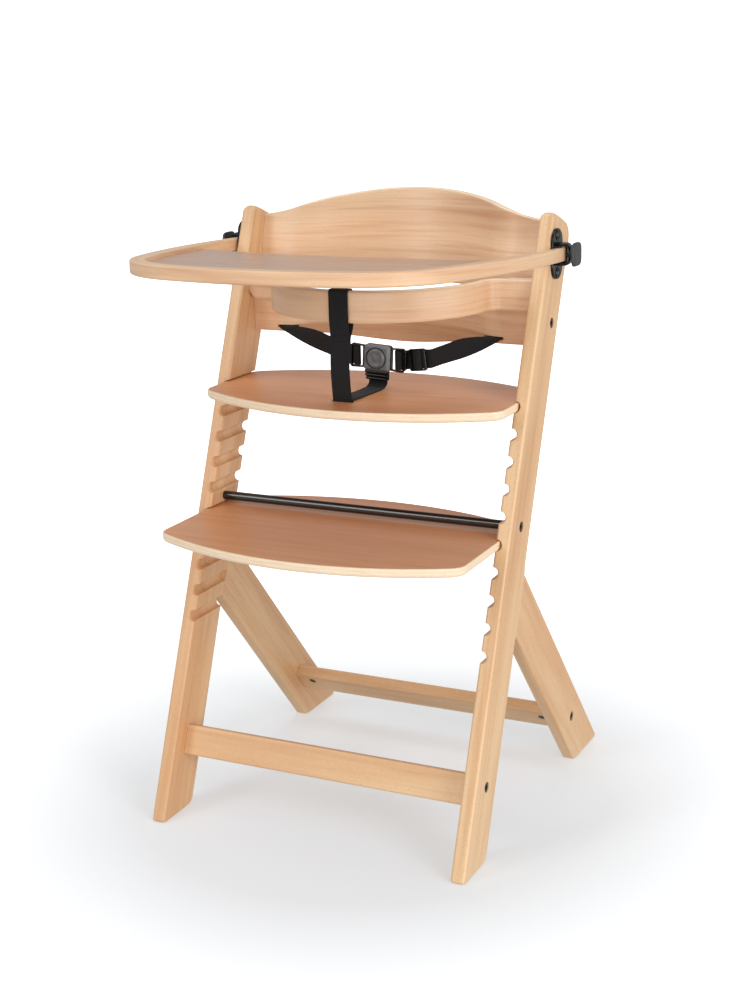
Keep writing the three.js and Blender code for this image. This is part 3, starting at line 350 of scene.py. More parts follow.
def moulded(name, text, roughness, texture=1400.0, gloss=1.47):
    """Moulded plastic: a fine spark-eroded texture, faint flow marks and a painted highlight that makes
    its sharp edges paler.
    """
    base = colour(text)
    shade = Shader(name, IOR=gloss)
    place = shade.node("TexCoord", "Object")
    grit = shade.noise(place, texture, detail=2.0)
    flow = shade.noise(shade.scaled(place, (60, 60, 140)), detail=2.0)
    # Painted highlight: the sharpest convex edges are made paler.
    painted_edge_highlight = shade.remap(shade.node("NewGeometry", "Pointiness"), 0.52, 0.62, 0.0, 0.3)
    pale = paler(base, 1.9, 0.006)
    tint = shade.mix(shade.remap(flow, 0.35, 0.7, 0.0, 0.25), base, pale)
    tint = shade.mix(painted_edge_highlight, tint, pale)
    rough = shade.remap(flow, 0.3, 0.7, roughness - 0.05, roughness + 0.06)
    return shade.surface(Base_Color=tint, Roughness=rough, Normal=shade.bump(grit, 0.2, 0.0002))


def metal(name, text, roughness, metallic=0.9):
    """Plated steel: faint turning marks and a slightly uneven plating."""
    base = colour(text)
    shade = Shader(name, Metallic=metallic)
    place = shade.node("TexCoord", "Object")
    marks = shade.noise(shade.scaled(place, (300, 2600, 2600)), detail=3.0)
    patches = shade.noise(place, 90.0, detail=3.0)
    pale = paler(base, 1.7, 0.02)
    tint = shade.mix(shade.remap(patches, 0.35, 0.7, 0.0, 0.4), base, pale)
    rough = shade.remap(patches, 0.3, 0.7, roughness - 0.06, roughness + 0.1)
    return shade.surface(Base_Color=tint, Roughness=rough, Normal=shade.bump(marks, 0.15, 0.0001))


def coated_tube(name):
    """Black powder coat on the tie rod: glossy, with a slight orange peel."""
    shade = Shader(name, IOR=1.5, Coat_Weight=0.6, Coat_Roughness=0.12)
    place = shade.node("TexCoord", "Object")
    peel = shade.noise(place, 420.0, detail=2.0)
    dust = shade.noise(place, 60.0, detail=3.0)
    tint = shade.mix(shade.remap(dust, 0.4, 0.75, 0.0, 0.5), colour("060607"), colour("101011"))
    rough = shade.remap(dust, 0.3, 0.7, 0.12, 0.2)
    return shade.surface(Base_Color=tint, Roughness=rough, Normal=shade.bump(peel, 0.1, 0.0002))


# The attribute "weave" holds, in metres, how far a point is along the webbing and across it.
def webbing(name):
    """Woven nylon webbing: chevron ribs of fine yarns."""
    shade = Shader(name, Sheen_Weight=0.08, Sheen_Roughness=0.4, IOR=1.35)
    along, across, _ = shade.separate(shade.attribute("weave"))
    chevron = shade.math("PINGPONG", across, 0.0031)
    slanted = shade.math("ADD", along, shade.math("MULTIPLY", chevron, 0.55))
    rib = shade.math("SINE", shade.math("MULTIPLY", slanted, 2 * math.pi / 0.0013))
    yarn = shade.math("SINE", shade.math("MULTIPLY", across, 2 * math.pi / 0.0008))
    height = shade.math("ADD", shade.math("MULTIPLY", rib, 0.5), shade.math("MULTIPLY", yarn, 0.25))
    fuzz = shade.noise(shade.scaled(shade.attribute("weave"), (900, 1400, 900)), detail=3.0)
    height = shade.math("ADD", height, shade.math("MULTIPLY", fuzz, 0.6))
    # Painted shade: the weave is coloured darker where it lies low between its ribs and paler on their
    # crowns.
    tint = shade.mix(shade.remap(height, -0.3, 1.1), colour("0c0c0d"), colour("29292b"))
    wear_and_painted_highlight = shade.noise(shade.scaled(shade.attribute("weave"), (40, 90, 40)), detail=3.0)
    tint = shade.mix(shade.remap(wear_and_painted_highlight, 0.5, 0.8, 0.0, 0.3), tint, colour("242425"))
    rough = shade.remap(fuzz, 0.3, 0.7, 0.75, 0.92)
    return shade.surface(Base_Color=tint, Roughness=rough, Normal=shade.bump(height, 0.5, 0.0003))


BEECH = wood("beech", "e9c497", "dcaa7a", "c79262", "99673d", coat=0.25)
CALM_TONES = ("edc9a3", "e1b58c", "c88f68", "a06e48")
VENEER_TONES = ("e7a97a", "da996a", "c58455", "95623f")
# The tray's veneer tones are greyed towards the white that the panel reflects: partly its own colour,
# partly a painted reflection.
TRAY_TONES_WITH_PAINTED_REFLECTION = ("c29b80", "b78f75", "a67c61", "8a6349")
BEECH_CALM = wood("beech_bent", *CALM_TONES, fleck_amount=0.5, figure=1.2, coat=0.3)
VENEER = wood("veneer", *VENEER_TONES, fleck_amount=0.35, figure=0.8, roughness=0.36)
TRAY_VENEER_WITH_PAINTED_REFLECTION = wood(
    "tray_veneer_with_painted_reflection", *TRAY_TONES_WITH_PAINTED_REFLECTION, fleck_amount=0.3, figure=0.7, roughness=0.3, coat=0.3
)
PLY_EDGE = layered_edge("ply_edge", "fae4c6", "dab18a")
STEEL = metal("dark_steel", "4a4a4c", 0.38)
SPRING_STEEL = metal("spring_steel", "9a9a9c", 0.3, 1.0)
TUBE = coated_tube("black_tube")
PLASTIC = moulded("black_plastic", "0b0b0c", 0.16, 900.0, 1.4)
GREY_PLASTIC = moulded("grey_plastic", "66686b", 0.28)
KNOB_PLASTIC = moulded("knob_plastic", "323336", 0.4, 900.0)
WEBBING = webbing("webbing")
THREAD = moulded("thread", "1d1d1e", 0.7, 3000.0)

# ---- meshes ----------------------------------------------------------------------------------


def new_mesh(name, points, faces, materials, face_materials=None):
    """An object from layout points; its faces are turned to point outwards."""
    mesh = bpy.data.meshes.new(name)
    mesh.from_pydata([placed(p) for p in points], [], faces)
    for material in materials:
        mesh.materials.append(material)
    if face_materials:
        mesh.polygons.foreach_set("material_index", face_materials)
    obj = bpy.data.objects.new(name, mesh)
    bpy.context.scene.collection.objects.link(obj)
    tidy = bmesh.new()
    tidy.from_mesh(mesh)
    bmesh.ops.recalc_face_normals(tidy, faces=tidy.faces)
    tidy.to_mesh(mesh)
    tidy.free()
    return obj


def ring_faces(count, size, caps=True):
    """Faces between rings of size points each; the first and the last ring can be capped."""
    faces = []
    for i in range(count - 1):
        a, b = i * size, (i + 1) * size
        for j in range(size):
            k = (j + 1) % size
            faces.append((a + j, a + k, b + k, b + j))
    if caps:
        faces.append(tuple(range(size)))
        faces.append(tuple(range((count - 1) * size, count * size)))
    return faces


def loft(name, rings, materials, paint=None):
    """A skin over rings of points. paint(ring, place in ring) gives a face's material index."""
    size = len(rings[0])
    points = [p for ring in rings for p in ring]
    faces = ring_faces(len(rings), size)
    indices = None
    if paint:
        indices = [paint(i // size, i % size) for i in range(len(faces))]
    return new_mesh(name, points, faces, materials, indices)


def around(steps):
    """The angles of a full turn."""
    return [2 * math.pi * i / steps for i in range(steps)]


def arc(centre, radius, start, stop, steps):
    """Points on an arc in a plane, from one angle to another."""
    cx, cy = centre
    for i in range(steps + 1):
        angle = start + (stop - start) * i / steps
        yield cx + radius * math.cos(angle), cy + radius * math.sin(angle)


def rounded_box(u0, v0, u1, v1, radii, steps=4):
    """A rectangle's outline; radii are its corners', anticlockwise from the lowest."""
    corners = [(u0, v0, math.pi), (u1, v0, -math.pi / 2), (u1, v1, 0.0), (u0, v1, math.pi / 2)]
    signs = [(1, 1), (-1, 1), (-1, -1), (1, -1)]
    outline = []
    for (u, v, start), (su, sv), radius in zip(corners, signs, radii):
        centre = (u + su * radius, v + sv * radius)
        outline.extend(arc(centre, radius, start, start + math.pi / 2, steps))
    return outline


def rounded_polygon(corners, steps=6):
    """Corners (u, v, radius) as an outline with arcs, for a convex polygon drawn anticlockwise."""
    outline = []
    for i, (u, v, radius) in enumerate(corners):
        here = Vector((u, v))
        before = (Vector(corners[i - 1][:2]) - here).normalized()
        after = (Vector(corners[(i + 1) % len(corners)][:2]) - here).normalized()
        half = before.angle(after) / 2
        if radius == 0:
            outline.append((u, v))
            continue
        start = here + before * radius / math.tan(half)
        centre = here + (before + after).normalized() * radius / math.sin(half)
        first = math.atan2(start.y - centre.y, start.x - centre.x)
        outline.extend(arc(centre, radius, first, first + math.pi - 2 * half, steps))
    return outline


def inset(outline, distance):
    """A closed anticlockwise outline moved inwards."""
    result = []
    for i, point in enumerate(outline):
        before = (Vector(point) - Vector(outline[i - 1])).normalized()
        after = (Vector(outline[(i + 1) % len(outline)]) - Vector(point)).normalized()
        normal = Vector((-before.y - after.y, before.x + after.x)).normalized()
        stretch = max(0.5, normal.dot(Vector((-before.y, before.x))))
        result.append(tuple(Vector(point) + normal * distance / stretch))
    return result


def slab_rings(outline, low, high, round_low, round_high, at, steps=4):
    """Rings of a plate with rounded rims. at(u, v, w) gives a point; w runs through the plate."""
    rings = []
    for i in range(steps + 1):
        angle = math.pi / 2 * i / steps
        level = low + round_low * (1 - math.sin(angle))
        edge = inset(outline, round_low * (1 - math.cos(angle)))
        rings.insert(0, [at(u, v, level) for u, v in edge])
    for i in range(steps + 1):
        angle = math.pi / 2 * i / steps
        level = high - round_high * (1 - math.sin(angle))
        edge = inset(outline, round_high * (1 - math.cos(angle)))
        rings.append([at(u, v, level) for u, v in edge])
    return rings


# Two ways to lay a flat outline (u, v), with its thickness w along X or along Z.
def along_x(u, v, w):
    return (w, u, v)


def along_z(u, v, w):
    return (u, v, w)


def turned(profile, y, z, sides=32):
    """Rings of a piece turned about the line along X at (y, z). Profile points are (radius, x)."""
    rings = []
    for radius, x in profile:
        ring = [(x, y + radius * math.cos(a), z + radius * math.sin(a)) for a in around(sides)]
        rings.append(ring)
    return rings


def mirrored(rings):
    return [[(-x, y, z) for x, y, z in ring] for ring in rings]


def joined(name, objects):
    """Several objects as one, with one mesh that keeps all their materials."""
    target = objects[0]
    with bpy.context.temp_override(
        active_object=target, selected_editable_objects=objects, selected_objects=objects
    ):
        bpy.ops.object.join()
    target.name = name
    target.data.name = name
    return target


def carve(obj, cutters):
    """Cuts the cutters out of obj and removes them."""
    for cutter in cutters:
        modifier = obj.modifiers.new("cut", "BOOLEAN")
        modifier.operation = "DIFFERENCE"
        modifier.solver = "EXACT"
        modifier.object = cutter
    apply_modifiers(obj)
    for cutter in cutters:
        bpy.data.objects.remove(cutter)


def evaluated_mesh(obj):
    depsgraph = bpy.context.evaluated_depsgraph_get()
    return bpy.data.meshes.new_from_object(obj.evaluated_get(depsgraph))


def apply_modifiers(obj):
    baked = evaluated_mesh(obj)
    obj.modifiers.clear()
    obj.data = baked


def new_curve(name, bevel, resolution):
    curve = bpy.data.curves.new(name, "CURVE")
    curve.dimensions = "3D"
    curve.bevel_depth = bevel
    curve.bevel_resolution = resolution
    return curve


def curve_to_mesh(name, curve, material):
    """The mesh of a bevelled curve, as an object of its own."""
    drawn = bpy.data.objects.new(name, curve)
    bpy.context.scene.collection.objects.link(drawn)
    mesh = evaluated_mesh(drawn)
    bpy.data.objects.remove(drawn)
    obj = bpy.data.objects.new(name, mesh)
    bpy.context.scene.collection.objects.link(obj)
    mesh.materials.clear()
    mesh.materials.append(material)
    return obj


def box_cutter(low, high):
    outline = [(low[0], low[1]), (high[0], low[1]), (high[0], high[1]), (low[0], high[1])]
    rings = [[(u, v, z) for u, v in outline] for z in (low[2], high[2])]
    return loft("cutter", rings, [])


def bore_cutter(y, z, radius, x0, x1, sides=32):
    return loft("cutter", turned([(radius, x0), (radius, x1)], y, z, sides), [])


def shade_smooth(obj, angle=38.0):
    mesh = obj.data
    mesh.polygons.foreach_set("use_smooth", [True] * len(mesh.polygons))
    mesh.set_sharp_from_angle(angle=math.radians(angle))
    weigh = obj.modifiers.new("weigh", "WEIGHTED_NORMAL")
    weigh.keep_sharp = True
    apply_modifiers(obj)


def write_attribute(obj, name, values):
    if name in obj.data.attributes:
        obj.data.attributes.remove(obj.data.attributes[name])
    attribute = obj.data.attributes.new(name, "FLOAT_VECTOR", "POINT")
    attribute.data.foreach_set("vector", [c for value in values for c in value])


# Every piece of wood is cut from its own place in the procedural timber.
logs = itertools.count(1)
LOG_STEP = 0.83


def set_grain(obj, along, across):
    """Grain coordinates from place: along and across are directions."""
    start = Vector((LOG_STEP, 0.31, 0.57)) * next(logs)
    along = Vector(along).normalized()
    across = Vector(across).normalized()
    deep = along.cross(across)
    values = []
    for vertex in obj.data.vertices:
        place = Vector(vertex.co.dot(way) for way in (along, across, deep))
        values.append(place + start)
    write_attribute(obj, "grain", values)


def set_board_grain(obj):
    """Grain along X; the depth counts from the board's own middle, so that its plies are level."""
    heights = [v.co.z for v in obj.data.vertices]
    middle = (min(heights) + max(heights)) / 2
    shift = LOG_STEP * next(logs)
    values = [(v.co.x + shift, v.co.y + shift, v.co.z - middle) for v in obj.data.vertices]
    write_attribute(obj, "grain", values)


def finish_piece(obj, body, node, angle=38.0):
    """Smooths a piece, ties it to its body and hides the CAD node that it replaces.
    A strap between two bodies is given no body, and a piece that the CAD lacks no node.
    """
    shade_smooth(obj, angle)
    if body:
        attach(obj, body)
    if node:
        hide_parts(node)


# ---- side planks and rear legs ---------------------------------------------------------------


def span(outline, z):
    """The lowest and highest y of a convex outline in (y, z) at height z."""
    levels = [level for _, level in outline]
    z = min(max(z, min(levels) + 1e-4), max(levels) - 1e-4)
    crossings = []
    for i, (y1, z1) in enumerate(outline):
        y0, z0 = outline[i - 1]
        if (z0 - z) * (z1 - z) <= 0 and z0 != z1:
            crossings.append(y0 + (y1 - y0) * (z - z0) / (z1 - z0))
    return min(crossings), max(crossings)


def slot_steps(centre):
    """The heights round one slot and how deep it is there, with softened lips."""
    lip = SLOT_LIP
    start = math.asin((lip - SLOT_STRAIGHT) / SLOT_RADIUS)
    half = []
    for i in range(4):
        angle = math.pi / 2 * i / 3
        half.append((SLOT_RADIUS + lip * (1 - math.sin(angle)), lip * (1 - math.cos(angle))))
    for i in range(1, 9):
        angle = start + (math.pi / 2 - start) * i / 8
        half.append((SLOT_RADIUS * math.cos(angle), SLOT_STRAIGHT + SLOT_RADIUS * math.sin(angle)))
    lower = [(centre - height, depth) for height, depth in half]
    upper = [(centre + height, depth) for height, depth in reversed(half[:-1])]
    return lower + upper


def slice_ring(y0, y1, x0, x1, front, rear):
    """One level slice of a plank; front and rear are its corners' (x, y) radii."""
    ring = []
    corners = [
        (x0, y0, 1, 1, math.pi, front),
        (x1, y0, -1, 1, -math.pi / 2, front),
        (x1, y1, -1, -1, 0.0, rear),
        (x0, y1, 1, -1, math.pi / 2, rear),
    ]
    for x, y, sx, sy, start, (rx, ry) in corners:
        for i in range(6):
            angle = start + math.pi / 2 * i / 5
            ring.append((x + sx * rx + rx * math.cos(angle), y + sy * ry + ry * math.sin(angle)))
    return ring


def arris(outline, z, side):
    """The y radius that rounds a leaning face as much as an upright one."""
    step = 0.5
    lowest = min(p[1] for p in outline) + step
    highest = max(p[1] for p in outline) - step
    centre = min(max(z, lowest), highest)
    slope = (span(outline, centre + step)[side] - span(outline, centre - step)[side]) / (2 * step)
    return EDGE_ROUND * math.sqrt(1 + slope**2)


def plank_rings(outline, levels, joint):
    """Slices of a plank from the floor up. joint(z, side) is 1 where an edge is a glued joint."""
    top = max(p[1] for p in outline)
    rings = []
    for z, depth in levels:
        y0, y1 = span(outline, z)
        shrink = 0.0
        for gap, radius in ((z, 1.5), (top - z, TOP_ROUND)):
            if gap < radius:
                shrink = max(shrink, radius - math.sqrt(radius**2 - (radius - gap) ** 2))
        radii = []
        for side in (0, 1):
            amount = 1 - 0.92 * joint(z, side)
            reach = min(arris(outline, z, side) * amount, 0.48 * (y1 - y0))
            radii.append((EDGE_ROUND * amount, max(reach, 0.01)))
        ring = slice_ring(y0, y1, INNER + depth + shrink, OUTER - shrink, radii[0], radii[1])
        rings.append([(x, y, z) for x, y in ring])
    return rings


def smooth_step(value, low, high):
    t = min(max((value - low) / (high - low), 0.0), 1.0)
    return t * t * (3 - 2 * t)


def levels_for(outline, slots):
    """Heights to slice a plank at: its rounded corners, its slots and a few in between."""
    top = max(p[1] for p in outline)
    heights = {round(z, 2) for _, z in outline} | {top * i / 30 for i in range(31)}
    heights |= {0.4, 1.0, 1.5} | {top - gap for gap in (0.1, 0.5, 1.2, 2.2, 3.4, 4.8, 6.2)}
    levels = [(z, 0.0) for z in heights if 0.02 < z < top - 0.02]
    for centre in slots:
        reach = SLOT_RADIUS + SLOT_LIP + 0.05
        levels = [(z, d) for z, d in levels if abs(z - centre) > reach]
        levels.extend(slot_steps(centre))
    levels.extend([(0.0, 0.0), (top - 0.01, 0.0)])
    return sorted(set(levels))


JOINT_GAP = 0.3
PLANK_BACK = UPRIGHT_WIDTH / math.cos(LEAN)
CLOSING = math.tan(LEAN) + math.tan(LEG_LEAN)
LEG_FOOT_DEPTH = LEG_WIDTH / math.cos(LEG_LEAN)
JOINT_LOW = (LEG_FOOT_Y - PLANK_BACK) / CLOSING
JOINT_HIGH = (LEG_FOOT_Y + LEG_FOOT_DEPTH - PLANK_BACK) / CLOSING


def upright_rings():
    outline = rounded_polygon(
        [
            (0, 0, FOOT_ROUND),
            (PLANK_BACK, 0, 14),
            (*upright_point(UPRIGHT_WIDTH, UPRIGHT_LENGTH), 20),
            (*upright_point(0, UPRIGHT_LENGTH), 10),
        ],
        10,
    )

    def joint(z, side):
        if side == 0:
            return 0.0
        above = smooth_step(z, JOINT_HIGH, JOINT_HIGH + 3)
        return smooth_step(z, JOINT_LOW - 3, JOINT_LOW) * (1 - above)

    slots = [SLOT_TOP_Z - SLOT_PITCH * k for k in range(SLOT_COUNT)]
    return plank_rings(outline, levels_for(outline, slots), joint)


def leg_rings():
    def meet(edge):
        """Where a face of the leg, starting from edge on the floor, meets the plank's back."""
        z = (edge - PLANK_BACK - JOINT_GAP) / CLOSING
        return (PLANK_BACK + JOINT_GAP + z * math.tan(LEAN), z)

    foot_back = LEG_FOOT_Y + LEG_FOOT_DEPTH
    feet = [(LEG_FOOT_Y, 0, FOOT_ROUND), (foot_back, 0, FOOT_ROUND)]
    outline = rounded_polygon(feet + [(*meet(foot_back), 0), (*meet(LEG_FOOT_Y), 0)], 8)

    def joint(z, side):
        return smooth_step(z, JOINT_LOW - 1, JOINT_LOW + 1) if side == 0 else 0.0

    return plank_rings(outline, levels_for(outline, []), joint)


def counterbores(side, centres):
    radius, inside, outside = COUNTERBORE["radius"], OUTER - COUNTERBORE["depth"], OUTER + 3
    return [bore_cutter(y, z, radius, side * inside, side * outside) for y, z in centres]


def build_planks():
    leaning = (0, math.sin(LEAN), math.cos(LEAN))
    leg_way = (0, -math.sin(LEG_LEAN), math.cos(LEG_LEAN))
    for side, word in SIDES:
        turn = mirrored if side < 0 else list
        upright = loft(f"{word}_side_plank", turn(upright_rings()), [BEECH])
        carve(upright, counterbores(side, [FRONT_RAIL_BOLT, TIE_ROD_CENTRE, SLAT_BOLT]))
        set_grain(upright, leaning, (1, 0, 0))
        finish_piece(upright, "frame", f"{word}_upright")
        leg = loft(f"{word}_back_leg", turn(leg_rings()), [BEECH])
        carve(leg, counterbores(side, [REAR_RAIL_BOLT]))
        set_grain(leg, leg_way, (1, 0, 0))
        finish_piece(leg, "frame", f"{word}_rear_leg")


# ---- rails -----------------------------------------------------------------------------------


def rail_rings(point, width, centre_s):
    front = (width - RAIL["thickness"]) / 2
    low = centre_s - RAIL["height"] / 2
    radii = [RAIL["round"]] * 4
    section = rounded_box(front, low, front + RAIL["thickness"], low + RAIL["height"], radii)
    stations = [-END + 2 * END * i / 12 for i in range(13)]
    return [[(x, *point(n, s)) for n, s in section] for x in stations]


def up_along(point):
    """The (y, z) direction up a plank or a leg, whose layout function is point."""
    return tuple(a - b for a, b in zip(point(0, 1), point(0, 0)))


def nut_cutter(point, width, centre_s, side, end):
    """The cross hole for a barrel nut, from the face that it opens on."""
    up_y, up_z = up_along(point)
    face = RAIL["thickness"] / 2
    rings = []
    for depth in (face + 2, face - NUT_HOLE["depth"]):
        y, z = point(width / 2 + side * depth, centre_s + RAIL_BOLT_OFFSET)
        ring = []
        for angle in around(28):
            rise = NUT_HOLE["radius"] * math.sin(angle)
            x = end * NUT_HOLE["x"] + NUT_HOLE["radius"] * math.cos(angle)
            ring.append((x, y + rise * up_y, z + rise * up_z))
        rings.append(ring)
    return loft("cutter", rings, [])


def build_rails():
    rails = [
        ("front_rail", "front_crossbar", upright_point, UPRIGHT_WIDTH, FRONT_RAIL_S, 1),
        ("rear_rail", "rear_crossbar", leg_point, LEG_WIDTH, REAR_RAIL_S, -1),
    ]
    for node, name, point, width, centre_s, side in rails:
        rail = loft(name, rail_rings(point, width, centre_s), [BEECH])
        carve(rail, [nut_cutter(point, width, centre_s, side, end) for end in (-1, 1)])
        set_grain(rail, (1, 0, 0), (0, *up_along(point)))
        finish_piece(rail, "frame", node)


# ---- boards ----------------------------------------------------------------------------------


def board_outline(plan):
    """An arc in front, an arc behind and straight sides, with softened corners."""
    half = BOARD["half_width"]
    corner = BOARD["corner"]
    reach = half - corner
    front_centre = plan["front"] + plan["front_radius"]
    back_centre = plan["back"] - plan["back_radius"]

    def front_y(x):
        return front_centre - math.sqrt(plan["front_radius"] ** 2 - x**2)

    def back_y(x):
        return back_centre + math.sqrt(plan["back_radius"] ** 2 - x**2)

    def bend(start, control, stop):
        ends = list(zip(start, control, stop))
        for i in range(1, 8):
            t = i / 8
            yield tuple((1 - t) ** 2 * a + 2 * t * (1 - t) * b + t * t * c for a, b, c in ends)

    xs = [-reach + 2 * reach * i / 48 for i in range(49)]
    front = [(x, front_y(x)) for x in xs]
    back = [(x, back_y(x)) for x in reversed(xs)]
    low, high = front_y(half), back_y(half)
    right_low, right_high = (half, low + corner), (half, high - corner)
    left_low, left_high = (-half, low + corner), (-half, high - corner)
    outline = front + list(bend(front[-1], (half, low), right_low)) + [right_low, right_high]
    outline += list(bend(right_high, (half, high), back[0])) + back
    outline += list(bend(back[-1], (-half, high), left_high)) + [left_high, left_low]
    outline += list(bend(left_low, (-half, low), front[0]))
    return outline


def paint_flats(obj):
    """Gives the level faces the second material, the veneer; the rest stays as the cut edge."""
    for face in obj.data.polygons:
        if abs(face.normal.z) > 0.995:
            face.material_index = 1


def build_boards():
    boards = [
        ("seat_board", "seat_plate", SEAT, "seat"),
        ("footrest_board", "foot_plate", FOOTREST, "footrest"),
    ]
    rounds = (BOARD["round"], BOARD["round_top"])
    for node, name, plan, body in boards:
        low, high = (corner.z * 1000 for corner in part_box(node))
        rings = slab_rings(board_outline(plan), low, high, *rounds, along_z, 5)
        board = loft(name, rings, [PLY_EDGE, VENEER])
        if node == "seat_board":
            x, y = SEAT_SLIT["x"], SEAT_SLIT["y"]
            wide, deep = SEAT_SLIT["half_width"], SEAT_SLIT["half_depth"]
            slit = box_cutter((x - wide, y - deep, low - 5), (x + wide, y + deep, high + 5))
            carve(board, [slit])
        paint_flats(board)
        set_board_grain(board)
        finish_piece(board, body, node, 30.0)


# ---- bent pieces -----------------------------------------------------------------------------


def plan_arc(centre, radius, start, stop, steps, outward):
    """Points and normals on an arc of a plan; the normal points to the piece's other face."""
    for i in range(steps + 1):
        angle = start + (stop - start) * i / steps
        way = Vector((math.cos(angle), math.sin(angle)))
        yield Vector(centre) + way * radius, way if outward else -way


def back_plan(y):
    """The front face of the back seen from above: flat ends and one wide hollow curve."""
    flat, depth, reverse = BACK["flat"], BACK["depth"], BACK["reverse"]
    total = (flat**2 + depth**2) / (2 * depth)
    bend = math.asin(flat / total)
    main = total - reverse
    down, up = -math.pi / 2, math.pi / 2
    backwards = Vector((0, 1))
    plan = [(Vector((-END + (END - flat) * i / 4, y)), backwards) for i in range(4)]
    plan += plan_arc((-flat, y + reverse), reverse, down, down + bend, 14, False)
    plan += list(plan_arc((0, y + depth - main), main, up + bend, up - bend, 60, True))[1:]
    plan += list(plan_arc((flat, y + reverse), reverse, down - bend, down, 14, False))[1:]
    plan += [(Vector((flat + (END - flat) * i / 4, y)), backwards) for i in range(1, 5)]
    return plan


def guard_plan():
    """The outer face of the guard seen from above: tabs, bends and a half circle in front."""
    radius, tab_y, bend = GUARD_PLAN["radius"], GUARD_PLAN["tab_y"], GUARD_PLAN["bend"]
    centre_y = GUARD_PLAN["front"] + radius
    drop = centre_y - (tab_y - bend)
    bend_x = math.sqrt((radius + bend) ** 2 - drop**2)
    tilt = math.asin(drop / (radius + bend))
    up = math.pi / 2
    backwards = Vector((0, 1))
    steps = 8
    flat = END - bend_x
    plan = [(Vector((-END + flat * i / steps, tab_y)), backwards) for i in range(steps)]
    plan += plan_arc((-bend_x, tab_y - bend), bend, up, tilt, 8, True)
    plan += list(plan_arc((0, centre_y), radius, math.pi + tilt, 2 * math.pi - tilt, 72, False))[1:]
    plan += list(plan_arc((bend_x, tab_y - bend), bend, math.pi - tilt, up, 8, True))[1:]
    plan += [(Vector((bend_x + flat * i / steps, tab_y)), backwards) for i in range(1, steps + 1)]
    return plan


def bent_band(name, plan, thickness, low, high, radius, lean=0.0, lean_from=0.0):
    """A bent board: its plan, and its lower and upper edge as functions of x. Sets its grain.
    lean is how far it leans back per height above lean_from.
    """
    shift = LOG_STEP * next(logs)
    rings, grain = [], []
    travelled = 0.0
    previous = plan[0][0]
    for point, normal in plan:
        travelled += (point - previous).length
        previous = point
        section = rounded_box(0, low(point.x), thickness, high(point.x), [radius] * 4)
        ring = []
        for depth, z in section:
            place = point + normal * depth
            ring.append((place.x, place.y + lean * (z - lean_from), z))
            deep = (depth - thickness / 2) / 1000
            grain.append((travelled / 1000 + shift, z / 1000 + shift, deep))
        rings.append(ring)
    # Places in the section that lie on the two big faces and on half of each rounded edge.
    flats = {17, 18, 19, 0, 1, 7, 8, 9, 10, 11}

    def paint(ring, place):
        return 0 if ring < len(rings) - 1 and place in flats else 1

    band = loft(name, rings, [BEECH_CALM, PLY_EDGE], paint=paint)
    write_attribute(band, "grain", grain)
    return band


def upper_top(x):
    """The crown of the upper back: a low arc that flares into its lower ends."""
    spec = UPPER_BACK
    reach = 165.0
    x = abs(x)

    def crown(at):
        return spec["crown"] - CROWN_RADIUS + math.sqrt(CROWN_RADIUS**2 - at**2)

    if x <= reach:
        return crown(x)
    slope = reach / math.sqrt(CROWN_RADIUS**2 - reach**2)
    knee = reach + (crown(reach) - spec["end_top"]) / slope / 2
    knee_z = crown(reach) - (knee - reach) * slope
    a = reach - 2 * knee + INNER
    b = 2 * (knee - reach)
    t = (-b + math.sqrt(b * b - 4 * a * (reach - x))) / (2 * a)
    return (1 - t) ** 2 * crown(reach) + 2 * t * (1 - t) * knee_z + t * t * spec["end_top"]


def lower_bottom(x):
    reach = 160.0
    dip = 0.5 * (1 + math.cos(math.pi * min(abs(x) / reach, 1.0)))
    return LOWER_BACK["bottom"] - LOWER_BACK["dip"] * dip


def lower_top(x):
    rise = smooth_step(abs(x), EAR["start"], EAR["end"])
    return LOWER_BACK["middle_top"] + (LOWER_BACK["ear_top"] - LOWER_BACK["middle_top"]) * rise


def guard_low(x):
    corner = GUARD["tab_corner"]
    over = max(0.0, abs(x) - (END - corner))
    return GUARD["bottom"] + corner - math.sqrt(max(0.0, corner**2 - over**2))


def slit_cutter(x):
    y, z = LOWER_BACK["y"], WAIST_SLIT["z"]
    high, wide = WAIST_SLIT["half_height"], WAIST_SLIT["half_width"]
    return box_cutter((x - wide, y - 10, z - high), (x + wide, y + 60, z + high))


def lay_grain_along(band, plan):
    """Grain that follows a bent back's plan, for a mesh that has been cut."""
    shift = LOG_STEP * next(logs)
    runs = [0.0]
    for (point, _), (before, _) in zip(plan[1:], plan):
        runs.append(runs[-1] + (point - before).length)
    xs = [point.x for point, _ in plan]
    values = []
    for vertex in band.data.vertices:
        x = vertex.co.x * 1000
        i = min(max(bisect.bisect_left(xs, x), 1), len(xs) - 1)
        t = (x - xs[i - 1]) / (xs[i] - xs[i - 1])
        run = runs[i - 1] + (runs[i] - runs[i - 1]) * t
        y = plan[i - 1][0].y + (plan[i][0].y - plan[i - 1][0].y) * t
        deep = vertex.co.y - LAYOUT_SHIFT - y / 1000
        values.append((run / 1000 + shift, vertex.co.z + shift, deep))
    write_attribute(band, "grain", values)


def build_backs():
    thick, soft = BACK["thickness"], BACK["round"]
    plan = back_plan(UPPER_BACK["y"])
    low, lean = UPPER_BACK["bottom"], UPPER_BACK["lean"]
    upper = bent_band("back_rest", plan, thick, lambda x: low, upper_top, soft, lean, low)
    finish_piece(upper, "frame", "upper_back")
    plan = back_plan(LOWER_BACK["y"])
    lower = bent_band("back_slat", plan, thick, lower_bottom, lower_top, soft)
    carve(lower, [slit_cutter(WAIST_SLIT[word]) for word in ("left", "right")])
    lay_grain_along(lower, plan)
    finish_piece(lower, "frame", "lower_back")
    thick, soft = GUARD["thickness"], GUARD["round"]
    guard = bent_band("guard_bow", guard_plan(), thick, guard_low, lambda x: GUARD["top"], soft)
    finish_piece(guard, "frame", "guard_rail")


# ---- tray ------------------------------------------------------------------------------------


